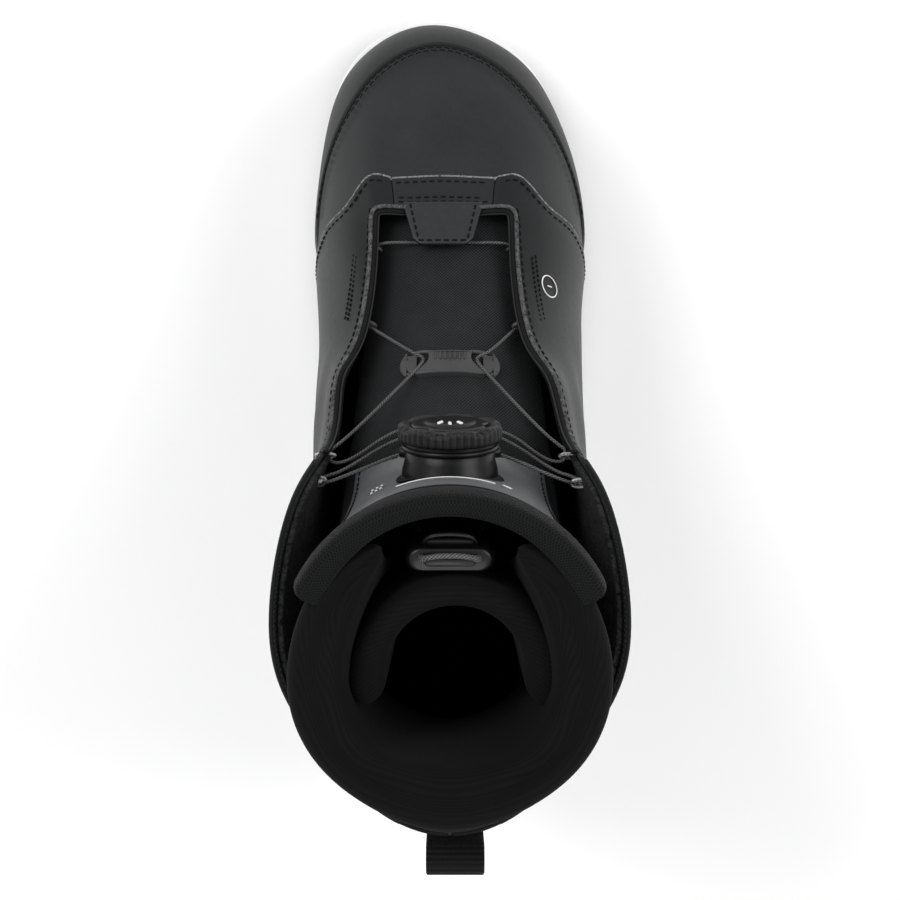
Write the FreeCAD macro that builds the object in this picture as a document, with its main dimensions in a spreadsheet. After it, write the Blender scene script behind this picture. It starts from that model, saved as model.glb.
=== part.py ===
import FreeCAD, Part
import math
import os

import Sketcher
from FreeCAD import Placement, Rotation, Vector

# Right snowboard boot, junior size, closed by one dial and one looped lace.
# Millimetres. +Y points to the toe, +X to the wearer's right (lateral side), +Z up.
# The origin is on the ground, below the middle of the boot's bounding box.

doc = FreeCAD.newDocument("snowboard_boot")

# ---------------------------------------------------------------- driving dimensions

DIMENSIONS = [
    # bottom unit
    ("outsole_thick", 8.0, "rubber outsole, tread included"),
    ("midsole_top", 26.8, "height of the foam midsole's top face"),
    ("midsole_proud", 1.3, "midsole edge outside the widest part of the upper"),
    ("toe_bumper", 4.2, "how much further the sole reaches at the toe"),
    ("toe_spring_start", 60.0, "Y where the sole starts to curve up"),
    ("toe_spring_radius", 900.0, "radius of the curved-up forefoot"),
    ("tread_depth", 3.5, "depth of the tread grooves"),
    ("tread_pitch", 12.0, "spacing of the tread grooves"),
    ("tread_groove", 4.0, "width of a tread groove"),
    ("lasting_board_thick", 2.0, "board that the upper is lasted over"),
    ("liner_sole_base", 32.0, "underside of the liner's sole"),
    ("liner_sole_thick", 5.0, "foam sole of the liner"),
    ("footbed_thick", 4.0, "loose footbed"),
    # upper
    ("seam_gap", 0.3, "clearance left between sewn panels"),
    ("panel_thick", 1.4, "outer panels"),
    ("lining_outside", 1.7, "depth of the lining's outer face below the panels"),
    ("lining_inside", 3.6, "depth of the lining's inner face"),
    ("liner_outside", 4.2, "depth of the liner's outer face below the panels"),
    ("liner_inside", 10.0, "depth of the liner's inner face"),
    ("liner_cuff_thick", 13.0, "padded cuff of the liner"),
    ("trim_thick", 1.1, "thickness of sewn-on trims"),
    ("tongue_thick", 8.0, "padded tongue below the ankle bend"),
    ("tongue_roll_thick", 11.0, "rolled collar at the tongue's top"),
    ("liner_tongue_thick", 8.5, "padded tongue of the liner"),
    # dial
    ("dial_tilt", 12.0, "dial axis above the horizontal, in degrees"),
    ("dial_height", 174.0, "height of the dial's foot on the tongue"),
    ("reel_flange", 2.4, "back of the reel's sewing flange above the tongue"),
    ("reel_radius", 13.6, "outer radius of the reel's cup"),
    ("reel_cavity", 9.6, "radius of the reel's cavity"),
    ("reel_floor", 3.8, "floor of the cavity"),
    ("reel_top", 9.0, "top of the cup"),
    ("spool_radius", 9.2, "lace spool's flange radius"),
    ("spool_core", 6.0, "radius that the lace winds on"),
    ("spool_base", 4.0, "underside of the spool"),
    ("spool_thick", 4.6, "height of the spool"),
    ("spool_flange", 1.2, "thickness of each spool flange"),
    ("housing_radius", 15.0, "toothed housing, outside"),
    ("housing_bore", 11.0, "toothed housing, at the roots of the teeth"),
    ("housing_base", 9.1, "underside of the housing"),
    ("housing_thick", 2.3, "height of the housing"),
    ("pawl_radius", 9.8, "pawl disc"),
    ("pawl_base", 9.2, "underside of the pawl disc"),
    ("pawl_thick", 1.6, "thickness of the pawl disc"),
    ("knob_radius", 15.2, "hard core of the knob"),
    ("knob_base", 11.8, "underside of the knob's core"),
    ("knob_thick", 4.6, "height of the knob's core"),
    ("knob_recess", 4.2, "radius of the recess round the screw head"),
    ("knob_recess_floor", 12.8, "floor of that recess"),
    ("grip_radius", 16.5, "rubber grip over the knob"),
    ("grip_top", 17.4, "front edge of the grip"),
    ("cap_radius", 12.8, "cap in the face of the knob"),
    ("cap_thick", 1.5, "thickness of the cap"),
    ("sleeve_radius", 2.60, "sleeve that the knob turns on"),
    ("sleeve_bore", 1.55, "bore of the sleeve, on the screw"),
    ("sleeve_base", 9.3, "lower end of the sleeve"),
    ("sleeve_length", 3.4, "length of the sleeve"),
    ("screw_radius", 1.50, "shank of the dial's screw"),
    ("screw_head", 2.6, "head radius of the dial's screw"),
    ("knob_pull", 2.8, "how far the knob pulls out to let the lace go"),
    # lace and small hardware
    ("lace_radius", 0.65, "lace"),
    ("harness_radius", 1.1, "cord of the liner's harness"),
    ("lock_width", 27.0, "lace lock of the liner"),
    ("lock_height", 17.0, "lace lock of the liner"),
    ("lock_thick", 8.0, "lace lock of the liner"),
    ("lock_bore", 1.3, "cord bores of the lace lock"),
    ("webbing_width", 18.0, "webbing of the heel loop"),
    ("webbing_thick", 1.8, "webbing of the heel loop"),
]

sheet = doc.addObject("Spreadsheet::Sheet", "Dimensions")
for row, (alias, value, note) in enumerate(DIMENSIONS, start=1):
    sheet.set(f"A{row}", note)
    sheet.set(f"B{row}", str(value))
    sheet.setAlias(f"B{row}", alias)
doc.recompute()


def size(alias):
    """A driving dimension, read from the sheet."""
    return float(getattr(sheet, alias))


def cell(expression):
    """The same, as an expression: every name in it is an alias of the sheet."""
    words = []
    for word in expression.split():
        known = any(word == alias for alias, _, _ in DIMENSIONS)
        words.append(f"Dimensions.{word}" if known else word)
    return " ".join(words)


# ---------------------------------------------------------------- shape of the upper

# The upper's outer face is lofted over ribs that rise from the sole to its open edge.
# Each rib is given for the right-hand side by five points: half width, Y and height.
UPPER_RIBS = [
    [(0, 141, 27), (0, 143.5, 42), (0, 135, 62), (0, 112, 77.5), (0, 67.5, 97)],
    [(27, 130, 27), (28.5, 132, 42), (25.5, 124, 62), (19, 105, 78), (14, 67, 97)],
    [(41, 106, 27), (43.5, 107, 43), (40, 101, 64), (31, 89, 82), (23, 65, 97.5)],
    [(47.5, 70, 27), (50.5, 70, 45), (47.5, 67, 68), (38, 62, 89), (27, 53, 103)],
    [(46, 35, 27), (49, 35, 47), (48, 34, 72), (41, 29, 98), (29.5, 22, 121)],
    [(41, 2, 27), (46, 2, 50), (48, 2, 78), (45.5, 3, 108), (37, 6, 135)],
    [(37.5, -34, 27), (43, -33, 52), (46.5, -30, 85), (47, -24, 120), (40.5, -15, 153)],
    [(36, -68, 27), (41, -67, 52), (45, -63, 90), (48, -52, 138), (50, -35, 188)],
    [(36, -98, 27), (40, -99, 50), (43, -96, 90), (48, -86, 145), (55.8, -78, 205)],
    [(30, -122, 27), (33.5, -126, 50), (34.5, -124, 90), (38.5, -115, 148), (45.5, -108, 210)],
    [(16.5, -137, 27), (18.5, -141.5, 50), (18.5, -140, 92), (21, -132, 150), (25, -130, 213)],
    [(0, -141, 27), (0, -145.5, 50), (0, -144.5, 92), (0, -137, 150), (0, -138.5, 215)],
]
RIB_COUNT = 2 * (len(UPPER_RIBS) - 1)
HEEL = len(UPPER_RIBS) - 1

# The padded cuff of the liner: ribs from its front edge round to the heel.
LINER_CUFF_RIBS = [
    [(25, -10, 106), (23, -45, 170), (19.5, -50, 235)],
    [(36, -24, 106), (36.5, -55, 170), (34.5, -61, 239)],
    [(39.5, -64, 106), (42.5, -78, 170), (45.5, -85, 239)],
    [(33, -110, 106), (37, -108.5, 170), (39, -109.5, 238)],
    [(15.5, -134, 106), (19.5, -127, 170), (24.5, -125, 238)],
    [(0, -138, 106), (0, -131.8, 170), (0, -133.3, 238)],
]

# Middle lines of the two tongues: Y, height, half width and how far the edges drop.
TONGUE_STATIONS = [
    (70, 89, 27, 5), (40, 106.5, 31, 9), (12, 127, 34, 12), (-8, 143.5, 36, 13),
    (-21, 157, 37, 15), (-26.5, 173, 38, 18), (-29, 196, 40, 22), (-30.5, 220, 43, 26),
    (-31.5, 242, 46, 29),
]
LINER_TONGUE_STATIONS = [
    (54, 84, 20, 3), (26, 100, 22.5, 6), (-3, 119, 23, 8), (-28, 141, 22.8, 10),
    (-48, 170, 22.8, 12), (-60, 200, 24.2, 14), (-67, 227, 26, 16),
]

TOE_SWING_START = 62.0
TOE_SWING_LENGTH = 80.0
TOE_SWING = -5.4


def toe_swing(y):
    """Sideways shift of the toe: a right boot's tip leans to the big toe's side."""
    reach = max(0.0, (y - TOE_SWING_START) / TOE_SWING_LENGTH)
    return TOE_SWING * reach ** 1.6


def curve_bends(values, closed):
    """Second derivatives of the smooth curve through evenly numbered values."""
    count = len(values)
    bends = [0.0] * count
    if count < 3:
        return bends
    for _ in range(40):
        for i in range(count):
            if not closed and i in (0, count - 1):
                bends[i] = bends[1] if i == 0 else bends[count - 2]
                continue
            before, after = values[i - 1], values[(i + 1) % count]
            load = 6.0 * (after - 2.0 * values[i] + before)
            bends[i] = (load - bends[i - 1] - bends[(i + 1) % count]) / 4.0
    return bends


def curve_value(values, bends, place, closed):
    """Value of that curve at a place counted in points."""
    count = len(values)
    if closed:
        place %= count
        left = int(place) % count
        right = (left + 1) % count
    else:
        place = min(max(place, 0.0), count - 1.0)
        left = min(int(place), count - 2)
        right = left + 1
    after = place - left
    before = 1.0 - after
    straight = before * values[left] + after * values[right]
    bulge = (before ** 3 - before) * bends[left] + (after ** 3 - after) * bends[right]
    return straight + bulge / 6.0


class Curve:
    """Smooth curve through tuples of numbers, one tuple for each unit of its parameter."""

    def __init__(self, points, closed=False):
        self.closed = closed
        self.columns = [list(column) for column in zip(*points)]
        self.bends = [curve_bends(column, closed) for column in self.columns]

    def at(self, place):
        pairs = zip(self.columns, self.bends)
        return [curve_value(column, bends, place, self.closed) for column, bends in pairs]


class Loft:
    """Surface over ribs: t counts ribs along the boot, w runs from 0 to 1 up a rib."""

    def __init__(self, ribs, closed, swing=None):
        shift = swing or (lambda y: 0.0)
        self.rows = []
        for level in range(len(ribs[0])):
            points = [(x + shift(y), y, z) for x, y, z in (rib[level] for rib in ribs)]
            self.rows.append(Curve(points, closed))

    def point(self, t, w):
        column = Curve([row.at(t) for row in self.rows])
        return Vector(*column.at(w * (len(self.rows) - 1)))

    def normal(self, t, w):
        step_t, step_w = 0.02, 0.01
        along = self.point(t + step_t, w) - self.point(t - step_t, w)
        low, high = max(w - step_w, 0.0), min(w + step_w, 1.0)
        up = self.point(t, high) - self.point(t, low)
        return up.cross(along).normalize()

    def at(self, t, w, depth=0.0):
        """Point at a depth below the surface."""
        return self.point(t, w) - self.normal(t, w) * depth


def mirrored(ribs):
    """The left-hand copies of some ribs, in reverse order."""
    return [[(-x, y, z) for x, y, z in rib] for rib in reversed(ribs)]


upper = Loft(UPPER_RIBS + mirrored(UPPER_RIBS[1:-1]), True, toe_swing)
liner_cuff = Loft(LINER_CUFF_RIBS + mirrored(LINER_CUFF_RIBS[:-1]), False)


class Tongue:
    """Padded strip that is arched across: u is -1 to 1 across, v counts its stations."""

    def __init__(self, stations):
        self.line = Curve(stations)
        self.last = len(stations) - 1

    def frame(self, v):
        """Middle point, outward direction, half width and half angle of the arch."""
        y, z, half, drop = self.line.at(v)
        y_low, z_low = self.line.at(max(v - 0.05, 0.0))[:2]
        y_high, z_high = self.line.at(min(v + 0.05, self.last))[:2]
        along = Vector(0, y_high - y_low, z_high - z_low).normalize()
        outward = Vector(0, along.z, -along.y)
        return Vector(0, y, z), outward, half, 2.0 * math.atan(drop / half)

    def at(self, u, v, depth=0.0):
        """Point at a depth below the outer face, which is a round arch across."""
        centre, outward, half, arch = self.frame(v)
        radius = half / math.sin(arch)
        angle = arch * u
        reach = radius - depth
        return centre + Vector(reach * math.sin(angle), 0, 0) + outward * (reach * math.cos(angle) - radius)

    def across_at(self, x, v):
        """The u of a place at a sideways distance."""
        _, _, half, arch = self.frame(v)
        return math.asin(x * math.sin(arch) / half) / arch

    def station_at_height(self, z):
        """Where the middle line passes a height."""
        low, high = 0.0, float(self.last)
        for _ in range(40):
            middle = (low + high) / 2.0
            if self.line.at(middle)[1] < z:
                low = middle
            else:
                high = middle
        return low


tongue = Tongue(TONGUE_STATIONS)
liner_tongue = Tongue(LINER_TONGUE_STATIONS)

# ---------------------------------------------------------------- builders

BUMPER_SPREAD = 1.5

made = []


def keep(feature, label):
    """Name a finished sub-part."""
    feature.Label = label
    made.append(feature)
    return feature


def solid_between(outer_rows, inner_rows):
    """Closed solid between two grids of points that have the same layout."""
    outer = Part.BSplineSurface()
    outer.interpolate(outer_rows)
    inner = Part.BSplineSurface()
    inner.interpolate(inner_rows)
    faces = [outer.toShape(), inner.toShape()]
    outer_limits = outer.bounds()
    inner_limits = inner.bounds()
    for side in range(4):
        if side < 2:
            edge_out = outer.uIso(outer_limits[side]).toShape()
            edge_in = inner.uIso(inner_limits[side]).toShape()
        else:
            edge_out = outer.vIso(outer_limits[side]).toShape()
            edge_in = inner.vIso(inner_limits[side]).toShape()
        faces.append(Part.makeRuledSurface(edge_out, edge_in))
    skin = Part.Shell(faces)
    skin.sewShape()
    solid = Part.makeSolid(skin)
    if solid.Volume < 0:
        solid.reverse()
    return solid


def soft_part(label, shape):
    """Sub-part whose freeform shape comes from the surfaces above."""
    feature = doc.addObject("Part::Feature", label)
    feature.Shape = shape
    feature.Placement = Placement()
    return keep(feature, label)


def panel_shape(surface, place, across, along, outside, inside):
    """Panel of a surface. place(a, b) turns 0 to 1 along and across into its coordinates."""
    outer_rows, inner_rows = [], []
    for i in range(along + 1):
        outer_row, inner_row = [], []
        for j in range(across + 1):
            a, b = i / along, j / across
            t, w = place(a, b)
            deep = inside(a, b) if callable(inside) else inside
            outer_row.append(surface.at(t, w, outside))
            inner_row.append(surface.at(t, w, deep))
        outer_rows.append(outer_row)
        inner_rows.append(inner_row)
    return solid_between(outer_rows, inner_rows)


def between(low, high, share):
    return low + (high - low) * share


def strip(t_start, t_end, w_low, w_high):
    """Place rule for a panel with a lower and an upper edge given as functions of t."""

    def place(a, b):
        t = between(t_start, t_end, a)
        return t, between(w_low(t), w_high(t), b)

    return place


def level(value):
    """An edge that stays at one w."""
    return lambda t: value


def origin_plane(body, role):
    for item in body.Origin.OriginFeatures:
        if item.Role == role:
            return item
    raise ValueError(role)


def new_body(label):
    return keep(doc.addObject("PartDesign::Body", label), label)


def new_sketch(body, plane, height=None):
    """Sketch on one of the body's own planes, raised by an expression."""
    sketch = body.newObject("Sketcher::SketchObject", "Sketch")
    sketch.AttachmentSupport = [(origin_plane(body, plane), "")]
    sketch.MapMode = "FlatFace"
    if height:
        sketch.setExpression("AttachmentOffset.Base.z", cell(height))
    return sketch


def add_circle(sketch, radius, centre=None):
    """Circle bound to a radius expression, at the origin or at a fixed centre."""
    index = sketch.addGeometry(Part.Circle(centre or Vector(), Vector(0, 0, 1), 1.0), False)
    if centre is None:
        sketch.addConstraint(Sketcher.Constraint("Coincident", index, 3, -1, 1))
    number = sketch.addConstraint(Sketcher.Constraint("Radius", index, 1.0))
    sketch.setExpression(f"Constraints[{number}]", cell(radius))
    return index


def add_outline(sketch, points):
    """Closed polygon."""
    for start, end in zip(points, points[1:] + points[:1]):
        sketch.addGeometry(Part.LineSegment(start, end), False)


def add_smooth_outline(sketch, points):
    """Closed smooth curve."""
    curve = Part.BSplineCurve()
    curve.interpolate(Points=points, PeriodicFlag=True)
    sketch.addGeometry(curve, False)


def rectangle(x_low, x_high, y_low, y_high):
    return [Vector(x_low, y_low), Vector(x_high, y_low), Vector(x_high, y_high), Vector(x_low, y_high)]


def pad(body, sketch, length):
    feature = body.newObject("PartDesign::Pad", "Pad")
    feature.Profile = sketch
    feature.setExpression("Length", cell(length))
    body.Tip = feature
    return feature


def pocket(body, sketch, length=None, reverse=True, both_ways=False):
    """Cut upwards from the sketch by a length, or through everything."""
    feature = body.newObject("PartDesign::Pocket", "Pocket")
    feature.Profile = sketch
    if length:
        feature.setExpression("Length", cell(length))
    else:
        feature.Type = "ThroughAll"
    feature.Reversed = reverse
    if both_ways:
        feature.Midplane = True
    body.Tip = feature
    return feature


def polar(body, feature, count):
    """Repeat a feature round the body's Z axis."""
    pattern = body.newObject("PartDesign::PolarPattern", "PolarPattern")
    pattern.Originals = [feature]
    pattern.Axis = (origin_plane(body, "Z_Axis"), [""])
    pattern.Angle = 360.0
    pattern.Occurrences = count
    body.Tip = pattern
    return pattern


def disc(body, radius, base, height, hole=None):
    """Round pad, with or without a hole, all bound to the sheet."""
    sketch = new_sketch(body, "XY_Plane", base)
    add_circle(sketch, radius)
    if hole:
        add_circle(sketch, hole)
    return pad(body, sketch, height)


def bore(body, radius, base, height):
    """Round pocket that goes up from a height."""
    sketch = new_sketch(body, "XY_Plane", base)
    add_circle(sketch, radius)
    return pocket(body, sketch, height)


def plan_outline(w, outward, bumper=0.0, count=44):
    """Horizontal outline that follows the upper at w, moved outward, with a bumper at the toe."""
    points = []
    for i in range(count):
        t = RIB_COUNT * i / count
        from_toe = min(t, RIB_COUNT - t)
        side = upper.normal(t, w)
        side.z = 0
        reach = outward + bumper * math.exp(-(from_toe / BUMPER_SPREAD) ** 2)
        place = upper.point(t, w) + side.normalize() * reach
        points.append(Vector(place.x, place.y))
    return points


# ---------------------------------------------------------------- bottom unit

SPRING_END = 170.0
PROFILE_BACK = -170.0
PROFILE_DEPTH = 40.0
PROFILE_WIDTH = 140.0


def spring_rise(y, start, radius):
    """Height gained by the curved-up forefoot."""
    reach = max(0.0, y - start)
    return radius - math.sqrt(radius ** 2 - reach ** 2)


def add_side_profile(sketch, base, above):
    """Side view of what is cut away above or below the line of the curved sole."""
    start, radius = size("toe_spring_start"), size("toe_spring_radius")
    end_height = base + spring_rise(SPRING_END, start, radius)
    middle = (start + SPRING_END) / 2.0
    middle_height = base + spring_rise(middle, start, radius)
    back = Vector(PROFILE_BACK, base)
    bend = Vector(start, base)
    tip = Vector(SPRING_END, end_height)
    far = PROFILE_DEPTH if above else -PROFILE_DEPTH
    sketch.addGeometry(Part.LineSegment(back, bend), False)
    sketch.addGeometry(Part.Arc(bend, Vector(middle, middle_height), tip), False)
    sketch.addGeometry(Part.LineSegment(tip, Vector(SPRING_END, far)), False)
    sketch.addGeometry(Part.LineSegment(Vector(SPRING_END, far), Vector(PROFILE_BACK, far)), False)
    sketch.addGeometry(Part.LineSegment(Vector(PROFILE_BACK, far), back), False)


def cut_profile(body, base, above):
    sketch = new_sketch(body, "YZ_Plane")
    add_side_profile(sketch, base, above)
    return pocket(body, sketch, both_ways=True)


SOLE_W = 0.2
OUTSOLE_INSET = 0.7


def make_outsole(label, y_low, y_high, groove_start, groove_count):
    """Rubber tread piece: the sole's outline between two cross lines, grooved below."""
    body = new_body(label)
    sketch = new_sketch(body, "XY_Plane")
    add_smooth_outline(sketch, plan_outline(SOLE_W, size("midsole_proud") - OUTSOLE_INSET,
                                            size("toe_bumper")))
    pad(body, sketch, "outsole_thick + 8")
    cut_profile(body, size("outsole_thick") - 0.1, True)
    cut_profile(body, 0.0, False)
    for low, high in ((-180.0, y_low), (y_high, 180.0)):
        if abs(low) < 175.0 or abs(high) < 175.0:
            ends = new_sketch(body, "XY_Plane")
            add_outline(ends, rectangle(-80.0, 80.0, low, high))
            pocket(body, ends)
    groove = new_sketch(body, "XY_Plane")
    half = size("tread_groove") / 2.0
    dip = 5.0
    for side in (-1, 1):
        inner, outer = side * 4.0, side * 70.0
        add_outline(groove, [
            Vector(inner, groove_start - half), Vector(outer, groove_start - half + dip),
            Vector(outer, groove_start + half + dip), Vector(inner, groove_start + half)])
    cut = pocket(body, groove, "tread_depth + 1.2")
    pattern = body.newObject("PartDesign::LinearPattern", "LinearPattern")
    pattern.Originals = [cut]
    pattern.Direction = (origin_plane(body, "Y_Axis"), [""])
    pattern.Occurrences = groove_count
    pattern.setExpression("Length", cell(f"tread_pitch * {groove_count - 1}"))
    body.Tip = pattern
    return body


def make_midsole():
    """White foam midsole, curved up with the outsole."""
    body = new_body("midsole")
    sketch = new_sketch(body, "XY_Plane")
    add_smooth_outline(sketch, plan_outline(SOLE_W, size("midsole_proud"), size("toe_bumper")))
    pad(body, sketch, "midsole_top")
    cut_profile(body, size("outsole_thick"), False)
    return body


def make_board(label, w, inset, base, thick):
    """Flat board inside the upper."""
    body = new_body(label)
    sketch = new_sketch(body, "XY_Plane", base)
    add_smooth_outline(sketch, plan_outline(w, -inset))
    pad(body, sketch, thick)
    return body


def make_bottom():
    make_outsole("outsole_forefoot", -22.0, 180.0, -10.0, 12)
    make_outsole("outsole_heel", -180.0, -62.0, -134.0, 6)
    make_midsole()
    make_board("lasting_board", 0.0, 4.6, "midsole_top + 0.3", "lasting_board_thick")
    make_board("liner_sole", 0.03, 10.8, "liner_sole_base", "liner_sole_thick")
    make_board("footbed", 0.06, 11.2, "liner_sole_base + liner_sole_thick + 0.2", "footbed_thick")


# ---------------------------------------------------------------- panels of the upper

RAND_TOP = 0.54
BRIDGE_LOW = 0.932
BRIDGE_HALF = 1.27
QUARTER_FOOT = 3.75
QUARTER_SWEEP = 2.85
QUARTER_POWER = 3.4
TOE_END = 3.25
COUNTER_FRONT = 8.2
COUNTER_TOP = 0.46
QUARTER_TOP = 0.665
SPINE_HALF = 0.62
CUFF_FRONT = 6.35


def quarter_front(w):
    """Front edge of a quarter: up the side of the ball, then across over the toes."""
    return max(QUARTER_FOOT - QUARTER_SWEEP * w ** QUARTER_POWER, BRIDGE_HALF)


def toe_box_top(t):
    """The same edge as seen from the toe box."""
    side = min(abs(t), RIB_COUNT - abs(t))
    rise = (QUARTER_FOOT - max(side, BRIDGE_HALF)) / QUARTER_SWEEP
    return min(rise ** (1.0 / QUARTER_POWER), BRIDGE_LOW) - 0.005


def counter_edge(t):
    """Top edge of the heel counter: low at its wings, high at the heel."""
    reach = (t - HEEL) / (HEEL - COUNTER_FRONT)
    return between(COUNTER_TOP, 0.20, reach * reach)


def cuff_low(t):
    """Seam between the quarter and the cuff."""
    return between(QUARTER_TOP, 0.60, (t - CUFF_FRONT) / (HEEL - CUFF_FRONT))


def on_side(side, place):
    """Move a place rule made for the lateral side to the medial side."""
    if side > 0:
        return place
    return lambda a, b: (RIB_COUNT - place(a, b)[0], place(a, b)[1])


def quarter_rule(a, b):
    w = b * 0.998
    t = between(quarter_front(w) + 0.03, CUFF_FRONT - 0.02, a)
    return t, w


def make_upper_panels():
    panel = size("panel_thick")

    def upper_panel(label, place, along, across, outside=0.0, inside=panel):
        soft_part(label, panel_shape(upper, place, across, along, outside, inside))

    upper_panel("toe_rand", strip(-3.42, 3.42, level(0.0), level(RAND_TOP - 0.005)), 30, 8)
    upper_panel("toe_box", strip(-TOE_END, TOE_END, level(RAND_TOP), toe_box_top), 32, 10)
    upper_panel("throat_bridge", strip(-BRIDGE_HALF + 0.05, BRIDGE_HALF - 0.05,
                                       level(BRIDGE_LOW + 0.002), level(0.998)), 14, 4)
    for side, word in ((1, "lateral"), (-1, "medial")):
        upper_panel(f"{word}_quarter", on_side(side, quarter_rule), 18, 30)
        ankle = strip(CUFF_FRONT, COUNTER_FRONT - 0.02, level(0.0), lambda t: cuff_low(t) - 0.004)
        upper_panel(f"{word}_ankle_panel", on_side(side, ankle), 8, 12)
        heel = strip(COUNTER_FRONT, HEEL - SPINE_HALF - 0.02, lambda t: counter_edge(t) + 0.006,
                     lambda t: cuff_low(t) - 0.004)
        upper_panel(f"{word}_heel_panel", on_side(side, heel), 10, 8)
        cuff = strip(CUFF_FRONT, HEEL - SPINE_HALF - 0.02, cuff_low, level(0.998))
        upper_panel(f"{word}_cuff", on_side(side, cuff), 22, 8)
        eyestay = strip(2.35, 6.2, level(0.945), level(0.998))
        upper_panel(f"{word}_eyestay", on_side(side, eyestay), 20, 3, -size("trim_thick"), -0.2)
        binding = strip(6.9, HEEL - SPINE_HALF - 0.1, level(0.955), level(0.998))
        upper_panel(f"{word}_cuff_binding", on_side(side, binding), 18, 3, -size("trim_thick"), -0.2)
        linings = (("quarter", 3.4, CUFF_FRONT - 0.02, level(0.03), level(0.998)),
                   ("heel", CUFF_FRONT + 0.01, HEEL - 0.01, level(0.03), lambda t: cuff_low(t) - 0.01),
                   ("cuff", CUFF_FRONT + 0.01, HEEL - 0.01, cuff_low, level(0.998)))
        for name, start, end, low, high in linings:
            upper_panel(f"{word}_{name}_lining", on_side(side, strip(start, end, low, high)), 18, 12,
                        size("lining_outside"), size("lining_inside"))
    upper_panel("toe_lining", strip(-3.38, 3.38, level(0.03), level(0.998)), 30, 12,
                size("lining_outside"), size("lining_inside"))
    upper_panel("heel_counter", strip(COUNTER_FRONT, RIB_COUNT - COUNTER_FRONT, level(0.0),
                                      counter_edge), 30, 8)
    upper_panel("backstay", strip(HEEL - SPINE_HALF, HEEL + SPINE_HALF,
                                  lambda t: counter_edge(t) + 0.006, level(0.998)), 6, 14)


def make_throat_tab():
    """Trapezoid tab sewn to the bridge, hanging over the tongue."""
    front_y, rear_y = 82.0, 53.0
    front_half, rear_half = 17.5, 14.5
    lift = 1.0
    thick = 1.3
    outer_rows, inner_rows = [], []
    for i in range(9):
        y = between(front_y, rear_y, i / 8.0)
        half = between(front_half, rear_half, i / 8.0)
        outer_row, inner_row = [], []
        for j in range(7):
            x = between(-half, half, j / 6.0) - 1.0
            height = bridge_height(y) + lift - 0.004 * x * x
            outer_row.append(Vector(x, y, height + thick))
            inner_row.append(Vector(x, y, height))
        outer_rows.append(outer_row)
        inner_rows.append(inner_row)
    soft_part("throat_tab", solid_between(outer_rows, inner_rows))


def bridge_height(y):
    """Height of the bridge's middle line, and of its slope carried on over the tongue."""
    low, high = 0.5, 1.0
    edge = upper.point(0, 1.0)
    if y < edge.y:
        below = upper.point(0, 0.9)
        slope = (edge.z - below.z) / (edge.y - below.y)
        return edge.z + slope * (y - edge.y)
    for _ in range(30):
        middle = (low + high) / 2.0
        if upper.point(0, middle).y > y:
            low = middle
        else:
            high = middle
    return upper.point(0, low).z


# ---------------------------------------------------------------- tongue

HINGE_STATION = 2.8
SHIN_LOW = 4.72
ROLL_LOW = 7.05


def tongue_depth(thick, edge_share=0.45):
    """Padding is full in the middle and thin at the edges. place runs -1 to 1 with a."""

    def deep(a, b):
        u = between(-1.0, 1.0, a)
        return thick * (1.0 - (1.0 - edge_share) * u * u)

    return deep


def across(v_low, v_high, u_low=-1.0, u_high=1.0):
    """Place rule on a tongue between two stations."""
    return lambda a, b: (between(u_low, u_high, a), between(v_low, v_high, b))


def make_tongue():
    def part(label, place, steps, outside, inside):
        soft_part(label, panel_shape(tongue, place, steps, 12, outside, inside))

    thick = size("tongue_thick")
    roll = size("tongue_roll_thick")
    part("tongue_lower", across(0.0, HINGE_STATION), 10, 0.0, tongue_depth(thick))
    part("tongue_upper", across(HINGE_STATION, ROLL_LOW - 0.02), 14, 0.0, tongue_depth(thick))
    part("shin_panel", across(SHIN_LOW, ROLL_LOW - 0.05, -0.9, 0.9), 8, -size("trim_thick"), -0.2)
    part("tongue_collar", across(ROLL_LOW, tongue.last), 5, -1.2, tongue_depth(roll, 0.4))


# ---------------------------------------------------------------- dial

DIAL_STATION = tongue.station_at_height(size("dial_height"))
dial_foot = tongue.at(0, DIAL_STATION)
dial_turn = Rotation(Vector(1, 0, 0), size("dial_tilt") - 90.0)
dial_axis = dial_turn.multVec(Vector(0, 0, 1))
dial_place = Placement(dial_foot, dial_turn)
PORT_ANGLE = 25.0
PORT_RADIUS = 1.2
PORT_HEIGHT = 6.3


def patch_round_dial(half_width, half_height, outside, inside):
    """Solid that follows the tongue round the dial's foot."""
    rise = half_height / (tongue.line.at(DIAL_STATION + 0.5)[1] - tongue.line.at(DIAL_STATION - 0.5)[1])
    reach = tongue.across_at(half_width, DIAL_STATION)
    place = across(DIAL_STATION - rise, DIAL_STATION + rise, -reach, reach)
    return panel_shape(tongue, place, 8, 10, outside, inside)


def port_direction(side):
    angle = math.radians(PORT_ANGLE)
    return Vector(side * math.cos(angle), math.sin(angle), 0)


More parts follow.
